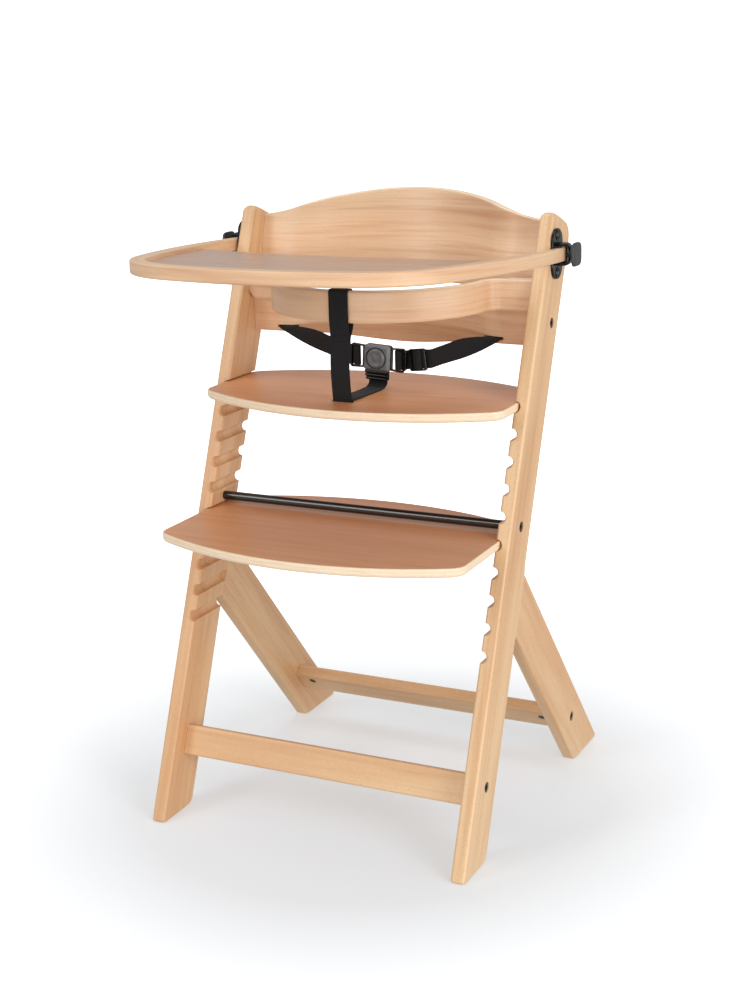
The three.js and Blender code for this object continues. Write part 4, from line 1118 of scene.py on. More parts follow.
def tray_circles():
    """The centres of the circles of the tray's outline on its right: side, corner and front."""
    side = Vector((TRAY["half_width"] - TRAY_SIDE["radius"], TRAY_SIDE["y"]))
    front = Vector((0, TRAY_FRONT["y"] + TRAY_FRONT["radius"]))
    reach_side = TRAY_SIDE["radius"] - TRAY_CORNER_RADIUS
    reach_front = TRAY_FRONT["radius"] - TRAY_CORNER_RADIUS
    apart = (front - side).length
    along = (reach_side**2 - reach_front**2 + apart**2) / (2 * apart)
    aside = math.sqrt(reach_side**2 - along**2)
    way = (front - side) / apart
    corner = side + way * along + Vector((way.y, -way.x)) * aside
    return side, corner, front


def tray_stations(start_y):
    """Points on the tray's outline and their outward directions, from the right side to the left."""
    side, corner, front = tray_circles()
    first = math.asin((start_y - side.y) / TRAY_SIDE["radius"])
    second = math.atan2(corner.y - side.y, corner.x - side.x)
    third = math.atan2(corner.y - front.y, corner.x - front.x)
    arcs = [
        (side, TRAY_SIDE["radius"], first, second, 16),
        (corner, TRAY_CORNER_RADIUS, second, third, 20),
        (front, TRAY_FRONT["radius"], third, -math.pi / 2, 12),
    ]
    right = []
    for centre, radius, start, stop, steps in arcs:
        for i in range(1 if right else 0, steps + 1):
            angle = start + (stop - start) * i / steps
            way = Vector((math.cos(angle), math.sin(angle)))
            right.append((centre + way * radius, way))
    left = [(Vector((-p.x, p.y)), Vector((-w.x, w.y))) for p, w in reversed(right[:-1])]
    return right + left


def rim_width(y):
    taper = (y - TRAY_SIDE["inner_end"]) / (TRAY_SIDE["arm_start"] - TRAY_SIDE["inner_end"])
    return TRAY["rim"] + (TRAY["arm"] - TRAY["rim"]) * min(max(taper, 0.0), 1.0)


def tilt_tray(obj):
    """Turns a finished tray piece about the line between its lock pins, front edge up."""
    pivot = placed((0, BRACKET["y"], (TRAY["bottom"] + TRAY["top"]) / 2))
    turn = Matrix.Rotation(-TRAY_TILT, 4, "X")
    obj.data.transform(Matrix.Translation(pivot) @ turn @ Matrix.Translation(-pivot))


def build_tray():
    half, end, start = TRAY["half_width"], TRAY["end"], TRAY_SIDE["y"]
    ys = [end - (end - start) * i / 8 for i in range(8)]
    arm = [(Vector((half, y)), Vector((1, 0))) for y in ys]
    other_arm = [(Vector((-half, y)), Vector((-1, 0))) for y in reversed(ys)]
    stations = arm + tray_stations(start) + other_arm
    rings, grain = [], []
    travelled = 0.0
    previous = stations[0][0]
    for outer, way in stations:
        travelled += (outer - previous).length
        previous = outer
        width = rim_width(outer.y)
        section = rounded_box(0, TRAY["bottom"], width, TRAY["top"], [3.0, 2.0, 2.0, 2.2], 5)
        ring = []
        for u, z in section:
            place = outer - way * u
            ring.append((place.x, place.y, z))
            grain.append((travelled / 1000 + 5.1, z / 1000, u / 1000))
        rings.append(ring)
    rim = loft("tray_frame", rings, [BEECH_CALM])
    write_attribute(rim, "grain", grain)
    tilt_tray(rim)
    finish_piece(rim, "tray", "tray_rim")
    build_tray_panel()


def build_tray_panel():
    spec = TRAY_PANEL
    depth = TRAY["rim"] - spec["tongue"]
    sides = [outer - way * depth for outer, way in tray_stations(spec["back_corner"])]
    corner_x = sides[0].x
    hollow = spec["back_corner"] - spec["back"]
    radius = (corner_x**2 + hollow**2) / (2 * hollow)
    angle = math.asin(corner_x / radius)
    down = -math.pi / 2
    back = list(arc((0, spec["back"] + radius), radius, down + angle, down - angle, 48))
    outline = back[:-1] + [tuple(p) for p in reversed(sides)][:-1]
    rings = slab_rings(outline[::-1], spec["bottom"], spec["top"], 1.5, 2.0, along_z, 4)
    panel = loft("tray_top", rings, [PLY_EDGE, TRAY_VENEER_WITH_PAINTED_REFLECTION])
    paint_flats(panel)
    set_board_grain(panel)
    tilt_tray(panel)
    finish_piece(panel, "tray", "tray_panel", 30.0)


# ---- brackets and lock knobs -----------------------------------------------------------------


def bracket_parts(side):
    """The bracket as plate, screw collars, loop and boss, for one side of the chair."""
    turn = mirrored if side < 0 else list
    y, z = BRACKET["y"], BRACKET["z"]
    wide, high = BRACKET["half_width"], BRACKET["half_height"]
    inside = OUTER + 0.3
    face = inside + BRACKET["plate"]
    outline = rounded_box(y - wide, z - high, y + wide, z + high, [wide - 1] * 4, 10)
    parts = [slab_rings(outline, inside, face, 0.3, 1.2, along_x, 3)]
    collar = [(7.6, face - 1), (7.6, face + 0.4), (7.0, face + 1.0)]
    collar += [(5.6, face + 1.0), (5.0, face + 0.4), (5.0, face - 1)]
    for screw_z in (z - SCREW_RISE, z + SCREW_RISE):
        parts.append(turned(collar, y, screw_z, 28))
    parts.append(loop_rings(inside))
    radius, end = BOSS["radius"], BOSS["end"]
    boss = [(radius, ARM_OUT + 1), (radius, end - 1), (radius - 1, end)]
    parts.append(turned(boss, y, z, 32))
    return [turn(rings) for rings in parts]


def loop_rings(inside):
    """The loop that the tray's arm slides through: a rounded bar bent round it."""
    y, z = BRACKET["y"], BRACKET["z"]
    opening = (TRAY["top"] - TRAY["bottom"]) / 2 + LOOP["clear"]
    middle = opening + LOOP["bar"] / 2
    outside = ARM_OUT + LOOP["bar"] / 2
    bend = 5.0
    route = [((inside + 1, z + middle), (0, 1)), ((outside - bend, z + middle), (0, 1))]
    upper = [(z + middle - bend, math.pi / 2 * (1 - i / 6)) for i in range(1, 7)]
    lower = [(z - middle + bend, -math.pi / 2 * i / 6) for i in range(7)]
    for centre_z, angle in upper + lower:
        way = (math.cos(angle), math.sin(angle))
        route.append(((outside - bend + bend * way[0], centre_z + bend * way[1]), way))
    route.append(((inside + 1, z - middle), (0, -1)))
    half_width, half_bar = LOOP["width"] / 2, LOOP["bar"] / 2
    section = rounded_box(-half_width, -half_bar, half_width, half_bar, [2.2] * 4, 4)
    rings = []
    for (x, level), (nx, nz) in route:
        rings.append([(x + v * nx, y + u, level + v * nz) for u, v in section])
    return rings


def knob_rings():
    """A squarish knob with round corners and a crowned face."""
    y, z = BRACKET["y"], BRACKET["z"]
    start = BOSS["end"] + 0.3
    profile = [(0.6, 0.0), (0.93, 0.0), (1.0, 0.5), (1.0, 2.6)]
    profile += [(0.985, 3.4), (0.93, 4.1), (0.8, 4.45), (0.5, 4.5)]
    square = 4.2
    rings = []
    for scale, x in profile:
        ring = []
        for angle in around(64):
            c, s = math.cos(angle), math.sin(angle)
            reach = KNOB_HALF / (abs(c) ** square + abs(s) ** square) ** (1 / square)
            ring.append((start + x, y + reach * scale * c, z + reach * scale * s))
        rings.append(ring)
    return rings


def coil(name, axis_point, start, stop, radius, direction):
    """A coil spring along direction between two distances from axis_point."""
    wire, turns, steps = 0.6, 4, 80
    curve = new_curve(name, wire / 2000, 3)
    line = curve.splines.new("POLY")
    line.points.add(steps)
    side = Vector((0, 0, 1))
    other = direction.cross(side)
    for i in range(steps + 1):
        angle = 2 * math.pi * turns * i / steps
        run = start + (stop - start) * i / steps
        swing = side * math.cos(angle) + other * math.sin(angle)
        line.points[i].co = (*placed(axis_point + direction * run + swing * radius), 1.0)
    return curve_to_mesh(name, curve, SPRING_STEEL)


def finish_spring(spring, node, anchor):
    """Smooths a spring, ties it to the frame and gives it a mesh of its own."""
    finish_piece(spring, "frame", node)
    tuple(placed(anchor))
    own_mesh(spring)


def build_brackets():
    y, z = BRACKET["y"], BRACKET["z"]
    pin_start, pin_end = TRAY["half_width"] - 3.5, BOSS["end"] + 1
    start, stop = TRAY["half_width"] + 2.8, BOSS["end"] - 2.2
    for side, word in SIDES:
        parts = [loft("part", rings, [PLASTIC]) for rings in bracket_parts(side)]
        bracket = joined(f"{word}_tray_guide", parts)
        finish_piece(bracket, "frame", f"{word}_tray_bracket")
        rings = knob_rings() if side > 0 else mirrored(knob_rings())
        knob = loft(f"{word}_pull_knob", rings, [KNOB_PLASTIC])
        ends = sorted((side * pin_start, side * pin_end))
        pin = loft("pin", turned([(3, x) for x in ends], y, z), [KNOB_PLASTIC])
        knob = joined(f"{word}_pull_knob", [knob, pin])
        finish_piece(knob, f"{word}_knob", f"{word}_lock_knob")
        way = Vector((side, 0, 0))
        spring = coil(f"{word}_knob_coil", Vector((0, y, z)), start, stop, 4.2, way)
        anchor = (side * stop, y, z)
        finish_spring(
            spring, f"{word}_knob_spring", anchor
        )


# ---- bolts and screws ------------------------------------------------------------------------


def build_bolts():
    centres = {
        "front_rail_bolt": FRONT_RAIL_BOLT,
        "rear_rail_bolt": REAR_RAIL_BOLT,
        "tie_rod_bolt": TIE_ROD_CENTRE,
        "lower_back_bolt": SLAT_BOLT,
    }
    face = OUTER - 0.9
    head = [(3, face - 4), (6.5, face - 4), (6.5, face - 0.6), (5.9, face), (3.6, face)]
    for node, (y, z) in centres.items():
        shank = 2.5 if node == "lower_back_bolt" else 3
        for side, word in SIDES:
            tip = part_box(f"{word}_{node}")
            start = min(abs(tip[0].x), abs(tip[1].x)) * 1000
            rings = turned([(r, side * x) for r, x in [(shank, start)] + head], y, z)
            bolt = loft(f"{word}_{node}_head", rings, [STEEL])
            socket = bore_cutter(y, z, 3.1, side * (face - 3.2), side * (face + 2), 6)
            carve(bolt, [socket])
            finish_piece(bolt, "frame", f"{word}_{node}")


def build_screws():
    face = OUTER + 0.3 + BRACKET["plate"]
    profile = [(2, OUTER - 12), (2, face + 0.3), (4.6, face + 0.3), (4.5, face + 1.1)]
    profile += [(3.8, face + 2.0), (2.4, face + 2.4), (0.6, face + 2.5)]
    y = BRACKET["y"]
    long, short = 2.6, 0.5
    for place, offset in (("lower", -SCREW_RISE), ("upper", SCREW_RISE)):
        for side, word in SIDES:
            z = BRACKET["z"] + offset
            rings = turned([(r, side * x) for r, x in profile], y, z)
            screw = loft(f"{word}_{place}_pan_screw", rings, [STEEL])
            near, far = sorted((side * (face + 1.2), side * (face + 4)))
            cross = [
                box_cutter((near, y - wide, z - high), (far, y + wide, z + high))
                for wide, high in ((long, short), (short, long))
            ]
            carve(screw, cross)
            finish_piece(screw, "frame", f"{word}_bracket_screw_{place}")


def build_tie_rod():
    y, z = TIE_ROD_CENTRE
    stations = [(TIE_ROD["radius"], x) for x in (-END, -150, -75, 0, 75, 150, END)]
    rod = loft("cross_rod", turned(stations, y, z, 48), [TUBE])
    finish_piece(rod, "frame", "tie_rod")


# ---- harness ---------------------------------------------------------------------------------


def spline(points, steps):
    """Points on a smooth curve through the given ones, as many per stretch as steps."""
    points = [Vector(p) for p in points]
    points = [2 * points[0] - points[1]] + points + [2 * points[-1] - points[-2]]
    result = []
    for i in range(1, len(points) - 2):
        p0, p1, p2, p3 = points[i - 1 : i + 3]
        k0 = max((p1 - p0).length, 1e-4) ** 0.5
        k1 = max((p2 - p1).length, 1e-4) ** 0.5
        k2 = max((p3 - p2).length, 1e-4) ** 0.5
        m1 = (p2 - p1) + k1 * ((p1 - p0) / k0 - (p2 - p0) / (k0 + k1))
        m2 = (p2 - p1) + k1 * ((p3 - p2) / k2 - (p3 - p1) / (k1 + k2))
        for step in range(steps):
            t = step / steps
            a = 2 * t**3 - 3 * t**2 + 1
            b = t**3 - 2 * t**2 + t
            c = -2 * t**3 + 3 * t**2
            d = t**3 - t**2
            result.append(p1 * a + m1 * b + p2 * c + m2 * d)
    return result + [points[-2]]


def ribbon(name, stops, width, steps):
    """A flat strap along stops of (place, direction across it). Sets its weave."""
    centres = spline([at for at, _ in stops], steps)
    across = spline([wide for _, wide in stops], steps)
    half, deep = width / 2, WEBBING_THICKNESS / 2
    under = [(u, -1.0) for u in (-0.94, -0.6, -0.2, 0.2, 0.6, 0.94)]
    half_section = [(-1.0, 0.0), (-0.985, -0.75)] + under + [(0.985, -0.75)]
    section = half_section + [(-u, -v) for u, v in half_section]
    rings, weave = [], []
    travelled = 0.0
    for i, centre in enumerate(centres):
        before, after = centres[max(i - 1, 0)], centres[min(i + 1, len(centres) - 1)]
        tangent = (after - before).normalized()
        wide = across[i].normalized()
        thick = tangent.cross(wide).normalized()
        travelled += (centre - before).length if i else 0.0
        ring = []
        for u, v in section:
            ripple = 0.12 * noise.noise(Vector((travelled * 0.11, u * 1.3, len(name))))
            ring.append(centre + wide * half * u + thick * (deep * v + ripple))
            weave.append((travelled / 1000, half * u / 1000, deep * v / 1000))
        rings.append(ring)
    strap = loft(name, rings, [WEBBING])
    write_attribute(strap, "weave", weave)
    return strap


def on_buckle(x, y, z=0.0):
    """A point given about the buckle's own centre and tilt."""
    turn = Matrix.Rotation(BUCKLE_TILT, 3, "Y")
    return BUCKLE + turn @ Vector((x, y, z))


def stitches(name, centre, across, along, rows, width):
    """Rows of short thread stitches lying on a strap."""
    curve = new_curve(name, 0.00028, 2)
    across, along = Vector(across).normalized(), Vector(along).normalized()
    lift = along.cross(across).normalized()
    if lift.y > 0:
        lift = -lift
    count = int(width / STITCH_PITCH)
    for row in rows:
        for i in range(count):
            line = curve.splines.new("POLY")
            line.points.add(2)
            start = (i - count / 2 + 0.15) * STITCH_PITCH
            for j, rise in enumerate((0.0, 0.35, 0.0)):
                place = Vector(centre) + across * (start + 0.35 * STITCH_PITCH * j)
                place += along * row + lift * (0.85 + rise)
                line.points[j].co = (*placed(place), 1.0)
    return curve_to_mesh(name, curve, THREAD)


def on_strap(u, w):
    """A point on the right strap, which climbs from its tongue towards the slit."""
    return on_buckle(u, w, max(0.0, u - STRAP_CLIMB["from"]) * STRAP_CLIMB["slope"])


def waist_stops(side, slit_x, arrive):
    """From behind the slit straight to the frame it is threaded through, with a quarter twist."""
    z = WAIST_SLIT["z"]
    level, on_edge = Vector((-side, 0, 0)), Vector((0, 0, 1))
    stops = [((slit_x, 336, z), level), ((slit_x, 318, z), level), ((slit_x, 306, z), level)]
    leave = Vector((slit_x, 298, z))
    for i in range(6):
        t = i / 6
        twist = math.pi / 2 * min(1.0, 0.06 + t / 0.75)
        across = level * math.cos(twist) + on_edge * math.sin(twist)
        stops.append((leave.lerp(arrive, t), across))
    return stops + [(arrive, on_edge)]


def build_waist_straps():
    frame_end = SHELL["half_width"] + 0.3 + TONGUE["length"]
    on_edge = (0, 0, 1)
    # Distance from the buckle's middle and depth, through the tongue and back behind itself.
    fold = [(40.0, 3.8), (36.0, 1.6), (32.6, -1.7), (28.6, -2.3), (25.6, -0.8), (26.0, 1.6)]
    fold += [(29.0, 2.8), (33.5, 3.6), (40.0, 5.6)]
    left = waist_stops(-1, WAIST_SLIT["left"], on_buckle(-frame_end - 4, 3.0))
    left += [(on_buckle(-u, w), on_edge) for u, w in fold + [(frame_end + 14, 8.6)]]
    near, far = ADJUSTER["start"], ADJUSTER["end"]
    right = waist_stops(1, WAIST_SLIT["right"], on_strap(far + 4, 3.4))
    weave_in = [(far - 2, 4.0), ((near + far) / 2, -3.4), (near + 2, 4.0)]
    tail = [(near + 4, 6.0), (far - 4, 7.0)]
    right += [(on_strap(u, w), on_edge) for u, w in weave_in + fold + tail]
    for word, stops, side in (("left", left, -1), ("right", right, 1)):
        strap = ribbon(f"{word}_lap_strap", stops, WAIST_WEBBING, 10)
        finish_piece(strap, None, f"{word}_waist_strap", 50.0)
        slit = placed((WAIST_SLIT[word], 300, WAIST_SLIT["z"]))
        near = placed(on_buckle(side * (frame_end + 8), 0))
        tuple(near)
        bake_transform(strap)


def build_guard_strap():
    slit = SEAT_SLIT
    slit_y = slit["y"] - 1.6
    guard_x = 7.0
    front_y, rear_y = GUARD_PLAN["front"] - 1.0, GUARD_PLAN["front"] + GUARD["thickness"] + 1.6
    over_y = GUARD_PLAN["front"] + GUARD["thickness"] / 2
    over_z = GUARD["top"] + 1.1
    seam_z = GUARD["bottom"] - 18
    wide = (1, 0, 0)
    seat_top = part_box("seat_board")[1].z * 1000
    front = [
        ((slit["x"], slit_y, 530), wide),
        ((slit["x"], slit_y, seat_top), wide),
        ((slit["x"], slit_y - 1.5, seat_top + 12), wide),
        ((slit["x"] + 2, slit_y - 8, seat_top + 46), (1, 0, 0.01)),
        ((guard_x - 1, front_y + 4, seam_z), (1, 0.02, 0)),
        ((guard_x, front_y, GUARD["bottom"] + 3), wide),
        ((guard_x, front_y, GUARD["top"] - 8), wide),
        ((guard_x, front_y + 0.2, GUARD["top"] - 1.5), wide),
        ((guard_x, front_y + 2.6, over_z), wide),
        ((guard_x, over_y, over_z), wide),
        ((guard_x, rear_y - 2.6, over_z), wide),
        ((guard_x, rear_y, GUARD["top"] - 2.5), wide),
        ((guard_x, rear_y, GUARD["bottom"] + 3), wide),
        ((guard_x + 1.5, front_y + 9, GUARD["bottom"] - 8), (1, -0.03, 0)),
        ((guard_x, front_y + 5.8, seam_z), (1, 0.0, 0)),
        ((guard_x - 1, front_y + 6.6, seam_z - 9), (1, 0.0, 0)),
    ]
    strap = ribbon("guard_webbing", front, CENTRE_WEBBING, 8)
    seam = (guard_x - 1, front_y + 3.8, seam_z)
    thread = stitches("guard_seam", seam, wide, (0, -0.12, 1), (-7, 2), CENTRE_WEBBING - 3)
    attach(thread, "frame")
    finish_piece(strap, None, "guard_strap", 50.0)
    low = placed((slit["x"], slit_y, seat_top))
    high = placed((slit["x"], slit_y, seat_top + 45))
    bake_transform(strap)


def build_buckle_strap():
    slit = SEAT_SLIT
    seat_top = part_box("seat_board")[1].z * 1000
    lay = seat_top + 1.3
    wide = (1, 0, 0)
    y = slit["y"] + 1.6
    back_y = BUCKLE.y
    under = BUCKLE.z - SHELL["half_height"]
    stops = [
        ((slit["x"], y, 530), wide),
        ((slit["x"], y, seat_top - 1.5), wide),
        ((slit["x"], y + 1.2, seat_top + 1.6), wide),
        ((slit["x"] + 0.5, y + 6, lay + 0.8), wide),
        ((slit["x"] + 2, y + 40, lay), (1, -0.02, 0)),
        ((BUCKLE.x - 2, back_y - 20, lay), (1, -0.02, 0)),
        ((BUCKLE.x - 1, back_y - 6, lay + 1.2), wide),
        ((BUCKLE.x - 0.5, back_y + 0.5, lay + 5.5), wide),
        ((BUCKLE.x, back_y - 0.7, under - 12.5), wide),
        ((BUCKLE.x, back_y - 0.5, under - 6.0), wide),
        ((BUCKLE.x, back_y - 0.5, under + 3.0), wide),
    ]
    strap = ribbon("crotch_webbing", stops, CENTRE_WEBBING, 8)
    finish_piece(strap, None, "buckle_strap", 50.0)
    start, end = placed((0, y + 20, lay)), placed((0, back_y - 10, lay))
    tuple(start)
    tuple(end)
    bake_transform(strap)


def behind_face(u, v, w):
    return on_buckle(u, w, v)


def on_face(outline, level):
    """An outline drawn on the buckle's face, moved level millimetres backwards."""
    return [behind_face(u, v, level) for u, v in outline]


def ring_plate(outline, low, high, soft):
    return slab_rings(outline, low, high, soft, soft, behind_face, 3)


def through_cutter(outline, low, high):
    return loft("cutter", [on_face(outline, level) for level in (low, high)], [])


def disc(radius):
    return [(radius * math.cos(a), radius * math.sin(a)) for a in around(48)]


def build_shells():
    wide, high = SHELL["half_width"], SHELL["half_height"]
    outline = rounded_box(-wide, -high, wide, high, [4.5] * 4, 6)
    steps = [(0.0, -0.15), (0.0, -3.4), (0.7, -4.2), (3.2, -6.6), (4.4, -6.6)]
    rings = [on_face(inset(outline, edge) if edge else outline, level) for edge, level in steps]
    front = loft("buckle_face", rings, [GREY_PLASTIC])
    carve(front, [through_cutter(disc(14.6), -9, -2.2), through_cutter(disc(6.1), -9, 1)])
    finish_piece(front, "frame", "buckle_front_shell", 30.0)
    back = loft("buckle_rear", ring_plate(outline, 0.15, SHELL["depth"], 1.4), [PLASTIC])
    carve(back, [through_cutter(disc(6.1), -1, 5)])
    finish_piece(back, "frame", "buckle_back_shell", 30.0)


def build_button():
    profile = [(4.5, -1.5), (5.5, -4.6), (12.6, -4.7), (12.8, -6.8), (12.4, -7.9), (11.4, -8.7)]
    profile += [(10.2, -9.0), (8.8, -8.8), (7.4, -8.1), (6.0, -7.8), (4.4, -8.1)]
    profile += [(2.6, -8.5), (0.8, -8.6)]
    rings = [on_face(disc(radius), level) for radius, level in profile]
    button = loft("press_button", rings, [GREY_PLASTIC])
    finish_piece(button, "button", "release_button", 50.0)
    start, stop = -1.0, 4.4
    spring = coil("button_coil", BUCKLE, start, stop, 4.1, Vector((0, 1, 0)))
    anchor = BUCKLE + Vector((0, stop, 0))
    finish_spring(spring, "button_spring", anchor)


def frame_with_windows(outline, windows, thickness, material, name):
    """A flat moulded frame about the buckle's centre, with rounded windows."""
    plate = loft(name, ring_plate(outline, -thickness, thickness, 0.9), [material])
    cutters = []
    for u0, v0, u1, v1 in windows:
        cutters.append(through_cutter(rounded_box(u0, v0, u1, v1, [1.2] * 4, 3), -9, 9))
    carve(plate, cutters)
    return plate


def build_tongues():
    start = SHELL["half_width"] + 0.3
    end = start + TONGUE["length"]
    half = TONGUE["half_height"]
    high = half - TONGUE_WINDOW["rim"]
    chamfer = TONGUE["chamfer"]
    for side, word in SIDES:
        corners = [
            (start, -half + 1, 1.5),
            (end - chamfer, -half, 2.0),
            (end, -half + chamfer, 2.0),
            (end, half - chamfer, 2.0),
            (end - chamfer, half, 2.0),
            (start, half - 1, 1.5),
        ]
        if side < 0:
            corners = [(-u, v, r) for u, v, r in reversed(corners)]
        outline = rounded_polygon(corners, 4)
        opening = (start + TONGUE_WINDOW["near"], end - TONGUE_WINDOW["far"])
        near, far = sorted(side * edge for edge in opening)
        windows = [(near, -high, far, high)]
        tongue = frame_with_windows(outline, windows, TONGUE["half_thickness"], PLASTIC, f"{word}_clip")
        prongs = []
        for sign in (-1, 1):
            low, top = sorted((sign * PRONG["near"], sign * PRONG["far"]))
            near, far = sorted((side * PRONG["tip"], side * (start + 1)))
            prong = rounded_box(near, low, far, top, [1] * 4)
            deep = PRONG["half_thickness"]
            prongs.append(loft("prong", ring_plate(prong, -deep, deep, 0.4), [PLASTIC]))
        edges = (start + TONGUE_WINDOW["bar_near"], start + TONGUE_WINDOW["bar_far"])
        near, far = sorted(side * edge for edge in edges)
        bar = rounded_box(near, -high - 1, far, high + 1, [0.9] * 4)
        prongs.append(loft("bar", ring_plate(bar, -0.9, 0.9, 0.4), [PLASTIC]))
        tongue = joined(f"{word}_clip", [tongue] + prongs)
        finish_piece(tongue, f"{word}_buckle_tongue", f"{word}_tongue", 30.0)


def build_adjuster():
    start, end, half = ADJUSTER["start"], ADJUSTER["end"], ADJUSTER["half_height"]
    high = half - 1.7
    outline = rounded_box(start, -half, end, half, [3] * 4, 5)
    edge, bar = ADJUSTER["edge"], ADJUSTER["bar"]
    windows = [(start + edge, -high, start + bar, high), (end - bar, -high, end - edge, high)]
    slider = frame_with_windows(outline, windows, 2.4, PLASTIC, "strap_slider")
    pivot = placed(on_buckle(STRAP_CLIMB["from"], 0))
    climb = Matrix.Rotation(-math.atan(STRAP_CLIMB["slope"]), 4, "Y")
    slider.data.transform(Matrix.Translation(pivot) @ climb @ Matrix.Translation(-pivot))
    finish_piece(slider, "adjuster", "strap_adjuster", 30.0)


def build_ladder():
    """The buckle's lower end: a plate with three round bars, in front of the centre strap."""
    under = -SHELL["half_height"]
    wide, low, high = LADDER["half_width"], under - LADDER["drop"], under + LADDER["overlap"]
    plate = rounded_box(-wide, low, wide, high, [2.5] * 4, 4)
    parts = [loft("plate", ring_plate(plate, 0.6, 2.4, 0.6), [PLASTIC])]
    for level, half in LADDER_BARS:
        end = [(half, 0.3), (half - 0.6, 0.8), (half - 2, 1.0)]
        rings = []
        for x, scale in [(-u, scale) for u, scale in end] + end[::-1]:
            ring = []
            for angle in around(20):
                rise = LADDER_BAR["half_height"] * scale * math.sin(angle)
                depth = LADDER_BAR["half_depth"] * scale * math.cos(angle) - LADDER_BAR["front"]
                ring.append(on_buckle(x, depth, under + level + rise))
            rings.append(ring)
        parts.append(loft("bar", rings, [PLASTIC]))
    ladder = joined("buckle_ladder", parts)
    finish_piece(ladder, "frame", None, 35.0)


# ---- pieces kept from the CAD model ------------------------------------------------------------


def clad(node, material):
    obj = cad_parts[node]
    obj.data.materials.clear()
    obj.data.materials.append(material)


def clad_kept_nodes():
    """The hidden hardware keeps its CAD shape and gets its own finish."""
    for word in ("left", "right"):
        for node in ("leg_dowel_lower", "leg_dowel_upper", "back_dowel_lower", "back_dowel_upper"):
            clad(f"{word}_{node}", DOWEL)
        for node in ("front_rail_barrel_nut", "rear_rail_barrel_nut", "guard_bolt"):
            clad(f"{word}_{node}", STEEL)
        clad(f"{word}_strap_anchor", PLASTIC)
    clad("seat_strap_anchor", PLASTIC)


def dowel_wood():
    """Plain beech for the dowels, which have no grain attribute of their own."""
    shade = Shader("dowel_beech")
    place = shade.node("TexCoord", "Object")
    lines = shade.noise(shade.scaled(place, (60, 900, 900)), detail=3.0)
    base = shade.mix(shade.remap(lines, 0.35, 0.7), colour("e2bd92"), colour("c8996b"))
    rough = shade.remap(lines, 0.3, 0.7, 0.5, 0.65)
    return shade.surface(Base_Color=base, Roughness=rough, Normal=shade.bump(lines, 0.2, 0.0002))


DOWEL = dowel_wood()

# ---- setting ---------------------------------------------------------------------------------


def floor_white():
    """A matt white sweep that glows more with distance, so that it fades to plain white; its weaker glow
    near the chair paints a soft grey shade round it.
    """
    shade = Shader("floor_white", Roughness=0.8)
    place = shade.node("TexCoord", "Object")
    cloud = shade.noise(place, 1.3, detail=2.0)
    far = shade.remap(shade.length(place), 0.32, 1.2)
    tint = shade.mix(shade.remap(cloud, 0.3, 0.7), (0.52, 0.55, 0.58, 1), (0.5, 0.53, 0.56, 1))
    # Painted shade: the glow is weakest near the chair and grows with distance from it.
    glow = shade.math("ADD", FLOOR_GLOW["near"], shade.math("MULTIPLY", far, FLOOR_GLOW["more"]))
    shade.surface(Emission_Color=(1, 1, 1, 1), Emission_Strength=glow)
    return shade.surface(Base_Color=tint)


def build_floor():
    """A round floor whose rim rises far away, all round."""
    profile = [(r, 0.0) for r in (0.02, 1, 2, 4, 8, 12)] + [(14, 0.3), (16, 1.2), (17, 2.5), (17.5, 4.5)]
    sides = 64
    points = []
    for radius, height in profile:
        for angle in around(sides):
            points.append((radius * math.cos(angle), radius * math.sin(angle), height))
    faces = [face[::-1] for face in ring_faces(len(profile), sides, caps=False)]
    faces.append(tuple(range(sides)))
    mesh = bpy.data.meshes.new("floor")
    mesh.from_pydata(points, [], faces)
    mesh.materials.append(floor_white())
    mesh.polygons.foreach_set("use_smooth", [True] * len(mesh.polygons))
    floor = bpy.data.objects.new("floor", mesh)
    bpy.context.scene.collection.objects.link(floor)
    floor.location.z = -0.0005
    floor.visible_diffuse = False
    floor.visible_glossy = False
    floor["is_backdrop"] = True


def area_light(name, place, target, size, power):
    light = bpy.data.lights.new(name, "AREA")
    light.shape = "RECTANGLE"
    light.size, light.size_y = size
    light.energy = power
    obj = bpy.data.objects.new(name, light)
    bpy.context.scene.collection.objects.link(obj)
    obj.location = place
    way = Vector(target) - Vector(place)
    obj.rotation_euler = way.to_track_quat("-Z", "Y").to_euler()


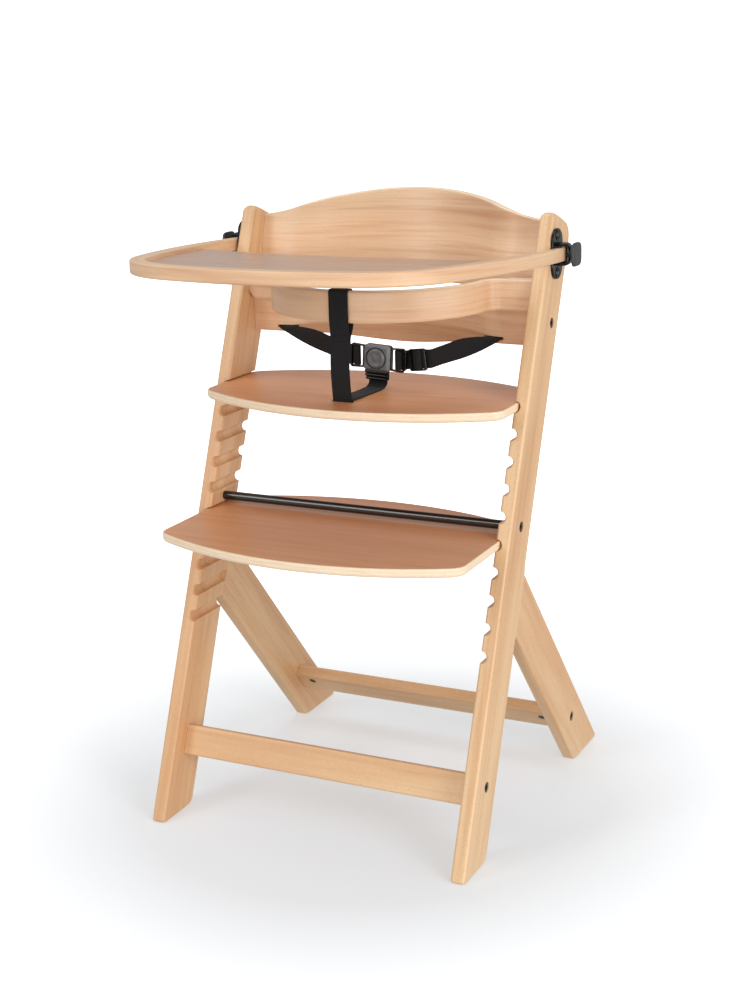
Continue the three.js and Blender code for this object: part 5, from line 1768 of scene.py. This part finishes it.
def build_lights():
    world = bpy.data.worlds.new("studio")
    bpy.context.scene.world = world
    world.use_nodes = True
    background = world.node_tree.nodes["Background"]
    background.inputs["Color"].default_value = (1, 1, 1, 1)
    background.inputs["Strength"].default_value = 0.5
    target = (0, 0, 0.45)
    area_light("key", (4.0, -2.0, 2.0), target, (1.9, 2.6), 75)
    area_light("fill", (-2.2, -3.6, 2.6), target, (1.5, 2.4), 46)
    area_light("top", (-0.4, 0.2, 3.4), target, (2.0, 1.6), 20)
    area_light("bounce_front", (0.6, -3.0, 0.3), target, (2.4, 0.5), 17)
    area_light("bounce_right", (3.0, -0.6, 0.3), target, (2.4, 0.5), 24)


def build_camera():
    """The camera stands in front and to the right, a little above the tray, and looks down."""
    camera = bpy.data.cameras.new("camera")
    camera.sensor_fit = "VERTICAL"
    camera.sensor_height = 36.0
    camera.lens = 60.87
    obj = bpy.data.objects.new("camera", camera)
    bpy.context.scene.collection.objects.link(obj)
    yaw, pitch, roll = 0.4584, 0.2707, -0.0263
    level = math.cos(pitch)
    forward = Vector((-math.sin(yaw) * level, math.cos(yaw) * level, -math.sin(pitch)))
    right = Vector((math.cos(yaw), math.sin(yaw), 0))
    up = right.cross(forward)
    right, up = (
        right * math.cos(roll) + up * math.sin(roll),
        up * math.cos(roll) - right * math.sin(roll),
    )
    turn = Matrix((right, up, -forward)).transposed()
    place = placed((959.9, -1704.65, 1004.99))
    obj.matrix_world = Matrix.Translation(place) @ turn.to_4x4()
    bpy.context.scene.camera = obj
    bpy.context.scene.view_settings.view_transform = "Standard"


# ---- assembly --------------------------------------------------------------------------------

build_camera()
build_planks()
build_rails()
build_boards()
build_backs()
build_tray()
build_brackets()
build_bolts()
build_screws()
build_tie_rod()
build_waist_straps()
build_guard_strap()
build_buckle_strap()
build_shells()
build_button()
build_tongues()
build_adjuster()
build_ladder()
clad_kept_nodes()
build_floor()
build_lights()

boxes = {"cad": CAD_BOX, "visual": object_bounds()}
{name: [list(corner) for corner in box] for name, box in boxes.items()}
